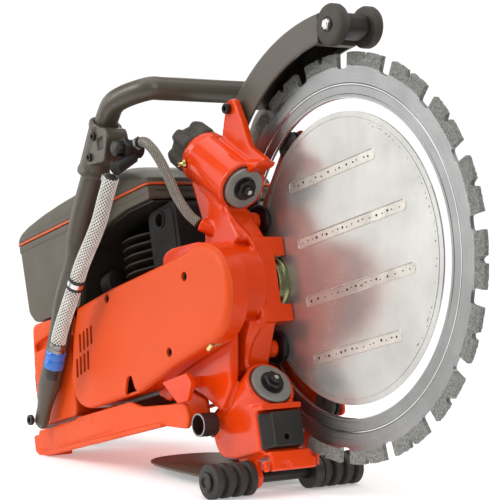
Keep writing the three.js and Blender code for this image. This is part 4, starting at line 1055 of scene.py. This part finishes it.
def build_engine():
    shell = rounded([(-342, -84), (-342, 2), (-228, 2), (-228, -84)], 14, 8)
    ex, ez = ENGINE
    bosses = [rod((ex + dx, -57, ez + dz), (ex + dx, 47, ez + dz), 6, 24)
              for dx, dz in ((-50, 18), (40, 18), (-50, -44), (40, -44))]
    casting("cast_crankcase", [prism(shell, -55, 45)] + bosses, ALLOY, stands_for=("crankcase",),
            cut=[rod((ex, -60, ez), (ex, 50, ez), 11.3, 48)], voxel=2.0, soften=4)
    shaft = revolve([(0, -87), (7.2, -87), (8, -86.2), (8, -54), (11, -54), (11, 44), (8, 44), (8, 66),
                     (0, 66)],
                    (ex, 0, ez), steps=48)
    part("crank_turned", [shaft], STEEL, "crank", ("crankshaft",))
    wheel = [sleeve(8.3, 46, 48, 54.5, (ex, 0, ez), steps=72)]
    for i in range(16):
        a = math.tau * i / 16
        x0, z0 = ex + 24 * math.cos(a), ez + 24 * math.sin(a)
        x1, z1 = ex + 44 * math.cos(a + 0.18), ez + 44 * math.sin(a + 0.18)
        across = Vector((-(z1 - z0), 0, x1 - x0)).normalized() * 1.1
        p, q = Vector((x0, 0, z0)), Vector((x1, 0, z1))
        blade = [(v.x, v.z) for v in (p + across, q + across, q - across, p - across)]
        wheel.append(prism(blade, 54, 59))
    part("fan_flywheel", wheel, ALLOY, "crank", ("flywheel",), bevel=0.4)
    solids = [revolve([(0, 2.5), (27, 2.5), (27, 86), (25, 88), (0, 88)], (ex, -5, 0), (0, 0, 1), 56)]
    for i in range(FINS["count"]):
        fin = [(46.5, 0), (48.4, 0.3), (49, 1.2), (48.4, 2.1), (46.5, 2.4), (26, 3.2), (26, -0.8)]
        solids.append(revolve(fin, (ex, -5, FINS["first"] + i * FINS["pitch"]), (0, 0, 1), 72, closed=True))
    part("finned_cylinder", solids, FIN_METAL, stands_for=("cylinder",),
         cut=[rod((-258, -20, 73), (-258, -20, 90), 3.3, 24)])
    boot = revolve([(0, 0), (8, 0), (8, 7), (6.5, 9), (0, 9)], (-290, 8, 88), (0, 0, 1), 32)
    part("spark_plug_boot", [boot], RUBBER)
    part("button", [revolve([(0, -14), (3, -14), (3, 0), (5.4, 0), (6, 0.6), (6, 7), (5, 8), (0, 8)],
                            (-258, -20, 91.8), (0, 0, 1), 32)], BLUE, "decompression",
         ("decompression_button",))
    shell = rounded([(-219, 40), (-219, 98), (-178, 98), (-178, 40)], 7, 6)
    shield = rounded([(-228, 34), (-228, 95), (-176, 99), (-176, 34)], 11, 8)
    raised = rounded([(-222, 40), (-222, 91), (-181, 94), (-181, 40)], 9, 8)
    part("muffler_box", [prism(shell, -54.5, -14)], SOOT, stands_for=("muffler",), bevel=2.0, segments=3)
    part("muffler_shield", [prism(shield, -57.6, -53.6), prism(raised, -59, -57)], SOOT,
         cut=[rod((-204, -70, 84), (-204, -50, 84), 7, 32)], bevel=1.0, segments=3)
    part("muffler_outlet", [sleeve(6.8, 8.6, -60.2, -54, (-204, 0, 84), steps=40)], SOOT)
    screws = [socket_screw((x, -57.4, z), (0, -1, 0), 3, 2) for x, z in ((-190, 45), (-216, 45))]
    part("muffler_screws", screws, DARK_STEEL)


def build_tank():
    side = rounded([(-456, -84), (-457, -33), (-449, 26), (-381, 24), (-370, -8), (-372, -84)], 8, 6)
    fx, fy, fz = FILLER
    levels = [(-83, 5), (-82, 2), (-79.5, 0.4), (-77, 0)]
    rings = []
    for y, o in levels + [(-y, o) for y, o in reversed(levels)]:
        ring = []
        for p in side:
            x = p[0] + (o if p[0] < -440 else 0)
            z = p[1] - (o * 0.5 if p[1] > 15 else 0)
            ring.append((x, y, z))
        rings.append(ring)
    solids = [loft(rings), rod((fx, 78, fz), (fx, fy, fz), 17, 48), block(-374, -346, -50, 50, -84, -10)]
    cuts = [rod((fx, 70, fz), (fx, 100, fz), 12, 32),
            prism(rounded([(-446, 4), (-366, 15), (-366, 2), (-446, -5)], 2), -90, -76),
            rod((-452, -90, -40), (-452, -80, -40), 2.4, 20),
            rod((-452, -90, -58), (-452, -80, -58), 1.8, 20)]
    casting("tank_body", solids, SATIN, stands_for=("tank_housing",), cut=cuts, voxel=1.5, soften=4)

    def grooved(radius, along, k):
        return radius - (0.9 if k % 8 < 3 and 0.5 < along < 7.5 else 0)

    cap = fluted([(0, 18.2), (0.8, 19), (7.2, 19), (8, 18.2), (9, 16.5)], grooved,
                 Vector((fx, fy + 0.3, fz)), ALONG_X, ALONG_Z, ALONG_Y, 96)
    bar = prism(rounded([(fx - 14, fz - 3), (fx + 14, fz - 3), (fx + 14, fz + 3), (fx - 14, fz + 3)], 2.5),
                fy + 8, fy + 10)
    plug = rod((fx, fy - 9.7, fz), (fx, fy + 0.4, fz), 11, 40)
    part("filler_lid", [cap, bar, plug], BLACK, "filler_cap", ("fuel_cap",), bevel=0.3)


def build_base():
    side = rounded([(-456, -88), (-456, -113), (-440, -116.4), (-204, -118), (-165, -126), (-159, -118),
                    (-162, -102), (-240, -94), (-262, -86), (-371, -86), (-371, -88)], 3)
    foot = rounded([(-470, -92), (-470, -110.2), (-438, -118), (-438, -92)], 2)
    flange = rounded([(-458, -107), (-458, -113.4), (-440, -117), (-204, -118.4), (-204, -114),
                      (-438, -112)], 2)
    step = rounded([(-420, -90), (-372, -88), (-300, -108), (-420, -110)], 4)
    web = rounded([(-262, -96), (-205, -96), (-190, -93.5), (-176, -90.5), (-162, -97.5), (-158, -100),
                   (-158, -127), (-204, -118), (-262, -112)], 2)
    bracket = rounded([(-360, -90), (-338, -90), (-338, -110), (-360, -110)], 3)
    rise = [(-80.5, -113), (-80.5, -115.5), (20, -96), (60, -89.5), (60, -86.5), (20, -93)]
    floor = loft([[(x, y, z) for y, z in rise] for x in (-440, -240)])
    solids = [prism(side, -85, -80), prism(foot, -84, -56), floor, prism(flange, -88, -80),
              prism(web, -66, -60), prism(step, -86.4, -80), prism(bracket, -86, -80)]
    casting("base_frame", solids, SATIN, stands_for=("base_plate",), voxel=1.2, soften=3)


def build_starter():
    ex, ez = ENGINE
    profile = [(53.5, 46), (57, 46), (57, 67), (55.5, 71), (50, 80), (47, 82), (14, 82), (14, 79), (46, 79),
               (53.5, 67)]
    start = Vector((ex - PULL.z * 30, 65, ez + PULL.x * 30))
    cuts = [rod(start + PULL * 20, start + PULL * 60, 4.2, 20)]
    for k in range(16):
        a = math.tau * k / 16
        ray = Vector((math.cos(a), math.sin(a)))
        p, q = Vector((ex, ez)) + ray * 20, Vector((ex, ez)) + ray * 44
        across = Vector((-(q - p).y, (q - p).x)).normalized()
        slot = rounded([tuple(p + across * 1.2), tuple(q + across * 3), tuple(q - across * 3),
                        tuple(p - across * 1.2)], 1.5, 4)
        cuts.append(prism(slot, 76, 86))
    part("starter_housing", [revolve(profile, (ex, 0, ez), steps=96, closed=True)], SATIN,
         stands_for=("starter_cover",), cut=cuts, bevel=0.6, segments=2)
    screws = [socket_screw((ex + 53 * math.cos(a), 68, ez + 53 * math.sin(a)), (0, 1, 0), 3.4, 6)
              for a in (0.5, 2.4, 3.9, 5.6)]
    part("starter_screws", screws, DARK_STEEL)
    reel = [(8.3, 60), (33, 60), (33, 61.5), (27, 62.5), (27, 67.5), (33, 68.5), (33, 70), (8.3, 70)]
    part("rope_reel", [revolve(reel, (ex, 0, ez), steps=64, closed=True)], BLACK, "starter_drum",
         ("starter_reel",))
    part("pull_rope", [rod(start, start + PULL * 62, 1.8, 20)], BLACK, "starter_pull", ("starter_rope",))
    seat = start + PULL * 62.5
    centre = seat + PULL * 14
    across = Vector((PULL.z, 0, -PULL.x))
    bar = [centre + across * s for s in (-26, -24.5, -20, -10, 0, 10, 20, 24.5, 26)]
    grip = sweep(bar, [4.5, 6.4, 7.5, 6.9, 6.7, 6.9, 7.5, 6.4, 4.5], 32)
    stem = revolve([(0, 0), (6.6, 0), (7, 0.6), (6, 10), (0, 10)], seat, PULL, 32)
    part("pull_grip", [grip, stem], BLACK, "starter_pull", ("starter_grip",), sharp=50)


# ---------------------------------------------------------------- handles and water

def build_rear_handle():
    loop = rounded([(-459, 14), (-500, 24), (-556, 18), (-582, -10), (-582, -46), (-566, -86.9),
                    (-545, -92), (-500, -94), (-459, -88), (-459, -56), (-500, -54), (-540, -50),
                    (-556, -38), (-556, -18), (-543, -6), (-500, -4), (-459, -18)], 8, 6)
    cuts = [block(-541, -499, -7, 7, -20, 8), block(-546, -506, -6, 6, 8.3, 40)]
    casting("grip_loop", [prism(loop, -16, 16)], BLACK, stands_for=("rear_handle",), cut=cuts, voxel=1.6,
            soften=9)
    rim = rounded([(-549, -3), (-502, -1), (-466, -10), (-466, 9), (-502, 18), (-549, 13)], 6, 6)
    part("grip_panel", [prism(rim, -16.6, -15), prism(rim, 15, 16.6)], GREY, bevel=0.5,
         cut=[block(-541, -499, -7, 7, -20, 8), block(-546, -506, -6, 6, 8.3, 40)])
    side = rounded([(-538, -5), (-504, 5), (-500.5, 2), (-506, -12), (-514, -26), (-522, -26), (-532, -14)],
                   4, 5)
    part("trigger_blade", [prism(side, -6, 6)], BLACK, "trigger", ("throttle_trigger",), bevel=1.4,
         segments=3)
    side = rounded([(-543, 15), (-543, 25), (-532, 29), (-509, 24), (-508, 9.5), (-513, 8.8)], 2, 4)
    part("lockout_lever", [prism(side, -5, 5)], GREY, "lockout", ("throttle_lockout",), bevel=1.2,
         segments=3)
    side = rounded([(-488, 21.6), (-488, 29), (-476, 29), (-472, 17.7)], 2, 4)
    ridges = [block(x, x + 1, -8.4, 8.4, 28, 30) for x in (-486, -483.5, -481, -478.5)]
    part("stop_slider", [prism(side, -8, 8)] + ridges, SEAM, "stop", ("stop_switch",), bevel=0.5)


def handle_route():
    right = [(-428, -82), (-415, -65), (-401, -46), (-369, -4), (-346, 34), (-316, 67), (-307, 88),
             (-287, 115), (-264, 140), (-241, 167), (-219, 192), (-197, 203)]
    near = [(x, -HANDLE_Y, z) for x, z in right]
    top = [(-164, -HANDLE_Y + 14, 205), (-160, -HANDLE_Y + 34, 205), (-160, 0, 205),
           (-160, HANDLE_Y - 34, 205), (-164, HANDLE_Y - 14, 205)]
    far = [(x, HANDLE_Y, z) for x, z in reversed(right)]
    return near + top + far


def build_front_handle():
    route = smooth_path(handle_route(), 6)
    widths = [HANDLE_TUBE - 3.7 * min(1, max(0, (-46 - p.z) / 22)) for p in route]
    part("bow_tube", [sweep(route, widths, 40)], GREY_PAINT,
         stands_for=("front_handle",), sharp=60)
    for side in (-1, 1):
        label = "near" if side < 0 else "far"
        y = side * HANDLE_Y
        lug = rounded([(-439, -82), (-424, -92), (-410, -70), (-421, -62)], 7, 6)
        part(f"bow_lug_{label}", [prism(lug, y - 3.2, y + 3.2)], GREY_PAINT, bevel=1.2, segments=3)
        head = socket_screw((-427, y + side * 11, -79), (0, side, 0), 5.6, 4)
        part(f"bow_screw_{label}", [head], DARK_STEEL)
    lower, upper = Vector((-264, -HANDLE_Y, 140)), Vector((-219, -HANDLE_Y, 192))
    along = (upper - lower).normalized()
    wing = rounded([(-244, 172), (-226, 184), (-204, 177), (-201, 168), (-213, 145), (-250, 150)], 4)
    solids = [rod(lower + along * 8, upper - along * 8, 15.5, 64), prism(wing, -109, -84),
              rod(lower + along * 6, lower + along * 12, 16.6, 64),
              rod(upper - along * 12, upper - along * 6, 16.6, 64)]
    cuts = [rod(lower - along * 4, upper + along * 4, 12.4, 48), block(-222, -210, -112, -106, 158, 170)]
    casting("bow_clamp", solids, GREY_PAINT, stands_for=("handle_clamp",), cut=cuts, voxel=1.0, soften=4)
    screws = [socket_screw((x, -108.6, z), (0, -1, 0), 4.2, 3) for x, z in CLAMP_SCREWS]
    part("clamp_screws", screws, DARK_STEEL)


def braid(path, radius, pitch, strands, wire):
    """Two sets of helical threads laid on a hose."""
    lengths = [0.0]
    for a, b in zip(path, path[1:]):
        lengths.append(lengths[-1] + (b - a).length)
    last = len(path) - 1
    tangents = [(path[min(i + 1, last)] - path[max(i - 1, 0)]).normalized() for i in range(last + 1)]
    side = frame_of(tangents[0])[0]
    frames = []
    for i in range(len(path)):
        if i:
            side = tangents[i - 1].rotation_difference(tangents[i]) @ side
        frames.append((side.copy(), tangents[i].cross(side)))
    threads = []
    for hand in (1, -1):
        for s in range(strands):
            line = []
            for i, point in enumerate(path):
                a = math.tau * (s / strands + hand * lengths[i] / pitch)
                lift = radius + 0.12 * hand
                line.append(point + (frames[i][0] * math.cos(a) + frames[i][1] * math.sin(a)) * lift)
            threads.append(sweep(line, wire, 5))
    return threads


SUPPLY_ROUTE = [(-190, -117, 123), (-206, -117, 106), (-226, -117, 84), (-264, -117, 55), (-283, -117, 37),
                (-309, -117, 13), (-325, -117, -3), (-332, -117, -12.8)]
BRANCH_ROUTE = [(-170.6, -90, 154), (-164, -89, 151), (-157, -86, 141), (-153, -81, 126),
                (-151.5, -76, 110), (-150, -71, 93), (-145.5, -64, 76), (-139.5, -58.5, 66)]


def build_water():
    path = smooth_path(SUPPLY_ROUTE, 14)
    part("supply_wall", [sweep(path, SUPPLY_RADIUS, 32)], HOSE_INNER, stands_for=("supply_hose",), sharp=60)
    part("supply_braid", braid(path, SUPPLY_RADIUS + 0.05, 58, 14, 0.5), HOSE_BRAID, sharp=80)
    thin = smooth_path(BRANCH_ROUTE, 10)
    part("branch_wall", [sweep(thin, BRANCH_RADIUS, 28)], HOSE_INNER, stands_for=("branch_hose",), sharp=60)
    part("branch_braid", braid(thin, BRANCH_RADIUS + 0.1, 26, 10, 0.3), BRANCH_BRAID, sharp=80)
    middle = path[len(path) * 5 // 9]
    ahead = path[len(path) * 5 // 9 + 2]
    along = (ahead - middle).normalized()
    bands = [sleeve(7.6, 9.0, s, s + 3.2, middle, along, 40, 0.5) for s in (-5.2, 3.2)]
    lock = [rod(middle + Vector((-6, 0, 9)), middle + Vector((-13, 0, 12)), 2.6, 20, 0.5)]
    part("hose_tie", bands + lock, BLACK)
    part("hose_clip", [sleeve(7.5, 8.6, -2.2, 3.4, middle, along, 40, 0.4)], BRIGHT)
    start = Vector((-332.2, -117, -13.1))
    direction = Vector((-20, 0, -28)).normalized()
    body = revolve([(0, 9), (8.6, 9), (9.6, 10), (10, 11.5), (10, 15), (9.3, 16), (9.3, 17.5), (10, 18.5),
                    (10, 26), (9.4, 27.4), (8.4, 28), (0, 28)], start, direction, 56)
    part("coupling_body", [body], BLUE, stands_for=("hose_connector",))
    collar = revolve([(0, 0), (8.3, 0), (8.5, 0.6), (8.5, 3.4), (7.6, 4), (7.6, 5.2), (8.5, 5.8),
                      (8.5, 9.2), (0, 9.2)], start, direction, 40)
    part("coupling_collar", [collar], STEEL)
    profile = [(0, 28), (7.5, 28), (7.5, 31), (6.9, 31.6), (6.9, 39), (6.3, 40), (0, 40)]
    part("coupling_tail", [revolve(profile, start, direction, 40)], BLACK)
    x, y, z = VALVE
    solids = [rod((x, y - 12, z), (x, y + 10, z), 9, 40, 0.8),
              rod((x, y, z - 8), (x + 4, y - 24, z - 22), 6.5, 32),
              rod((x, y, z + 2), (x + 17.5, y, z + 2), 5, 32),
              hexagon((x, y - 6, z), (0, -1, 0), 20, 5)]
    part("valve_casting", solids, BLACK_METAL, stands_for=("valve_body",))
    hose_nut = revolve([(0, 0), (8.4, 0), (8.4, 6), (0, 6)], (-191.5, -117, 124.5), (-16, 0, -17), 6)
    part("valve_nut", [hexagon((x + 9, y, z + 2), (1, 0, 0), 12, 6), hose_nut], STEEL, bevel=0.4)

    def ribbed(radius, along, k):
        return radius - (0.7 if k % 6 < 3 and along < 7 else 0)

    wheel = fluted([(0, 7.4), (0.8, 8), (6.4, 8), (7.4, 7.2), (8.4, 5.6), (9, 4.4)], ribbed,
                   Vector((x, y - 12.3, z)), ALONG_X, ALONG_Z, -ALONG_Y, 60)
    part("valve_handwheel", [wheel], BLACK, "water_knob", ("valve_knob",), sharp=50)


# ---------------------------------------------------------------- stage

def area_light(name, place_at, aim, size, power, colour=(1, 1, 1)):
    data = bpy.data.lights.new(name, "AREA")
    data.shape = "RECTANGLE"
    data.size, data.size_y = size
    data.energy = power
    data.color = colour
    obj = bpy.data.objects.new(name, data)
    bpy.context.scene.collection.objects.link(obj)
    obj.location = place_at
    obj.rotation_euler = (Vector(aim) - Vector(place_at)).to_track_quat("-Z", "Y").to_euler()


def floor_material():
    """White paper that fades out away from the saw, so that no horizon shows."""
    material, tree, shader = nodes_of("studio_floor")
    coords = tree.nodes.new("ShaderNodeTexCoord").outputs["Object"]
    tree.links.new(ramp(tree, noise(tree, coords, 1.2), 0.86, 0.88), shader.inputs["Base Color"])
    shader.inputs["Roughness"].default_value = 0.85
    shader.inputs["Specular IOR Level"].default_value = 0.2
    shader.inputs["Emission Color"].default_value = (1, 1, 1, 1)
    shader.inputs["Emission Strength"].default_value = 0.3
    distance = tree.nodes.new("ShaderNodeVectorMath")
    distance.operation = "LENGTH"
    tree.links.new(coords, distance.inputs[0])
    clear = tree.nodes.new("ShaderNodeBsdfTransparent")
    mix = tree.nodes.new("ShaderNodeMixShader")
    output = next(n for n in tree.nodes if n.type == "OUTPUT_MATERIAL")
    tree.links.new(ramp(tree, distance.outputs["Value"], 0, 1, 0.45, 0.85), mix.inputs["Fac"])
    tree.links.new(shader.outputs["BSDF"], mix.inputs[1])
    tree.links.new(clear.outputs["BSDF"], mix.inputs[2])
    tree.links.new(mix.outputs["Shader"], output.inputs["Surface"])
    return material


def build_stage():
    camera_data = bpy.data.cameras.new("camera")
    camera_data.lens = 122.6
    camera_data.sensor_width = 36
    camera = bpy.data.objects.new("camera", camera_data)
    bpy.context.scene.collection.objects.link(camera)
    camera.location = CENTRE + Vector((1.200, -0.952, 0.040))
    camera.rotation_euler = Vector((-0.8168, 0.5767, -0.0214)).to_track_quat("-Z", "Y").to_euler()
    bpy.context.scene.camera = camera

    floor_mesh = bpy.data.meshes.new("floor")
    floor_mesh.from_pydata([(-9, -9, -0.0002), (9, -9, -0.0002), (9, 9, -0.0002), (-9, 9, -0.0002)], [],
                           [(0, 1, 2, 3)])
    floor = link("floor", floor_mesh)
    floor.data.materials.append(floor_material())

    world = bpy.data.worlds.new("studio")
    world.use_nodes = True
    tree = world.node_tree
    background = next(n for n in tree.nodes if n.type == "BACKGROUND")
    background.inputs["Color"].default_value = (1, 1, 1, 1)
    background.inputs["Strength"].default_value = 0.3
    backdrop = tree.nodes.new("ShaderNodeBackground")
    backdrop.inputs["Color"].default_value = (1, 1, 1, 1)
    backdrop.inputs["Strength"].default_value = 1.05
    path = tree.nodes.new("ShaderNodeLightPath")
    mix = tree.nodes.new("ShaderNodeMixShader")
    output = next(n for n in tree.nodes if n.type == "OUTPUT_WORLD")
    tree.links.new(path.outputs["Is Camera Ray"], mix.inputs["Fac"])
    tree.links.new(background.outputs[0], mix.inputs[1])
    tree.links.new(backdrop.outputs[0], mix.inputs[2])
    tree.links.new(mix.outputs[0], output.inputs["Surface"])
    bpy.context.scene.world = world

    target = (0.0, 0.0, 0.22)
    area_light("overhead", (0.1, -0.2, 2.2), target, (2.6, 2.6), 30)
    area_light("left_card", (-1.5, -1.25, 0.6), target, (2.6, 1.5), 14)
    area_light("strip", (-0.9, -1.7, 1.0), target, (0.1, 1.8), 7)
    area_light("key", (-0.4, -2.0, 1.5), target, (0.9, 0.9), 17)
    area_light("front_right", (1.9, -0.3, 1.0), target, (1.0, 1.6), 12)
    area_light("far_side", (0.2, 2.0, 1.3), target, (1.8, 1.4), 14)
    area_light("rear", (-2.0, 0.9, 1.1), target, (1.2, 1.4), 9)

    view = bpy.context.scene.view_settings
    view.view_transform = "Standard"
    view.look = "None"
    view.exposure = 0.0
    view.gamma = 1.0


build_stage()
build_ring()
build_disc()
build_drive()
build_belt()
build_rollers()
build_arm_casting()
build_arm_fittings()
build_guard()
build_foot()
build_belt_guard()
build_covers()
build_engine()
build_tank()
build_base()
build_starter()
build_rear_handle()
build_front_handle()
build_water()
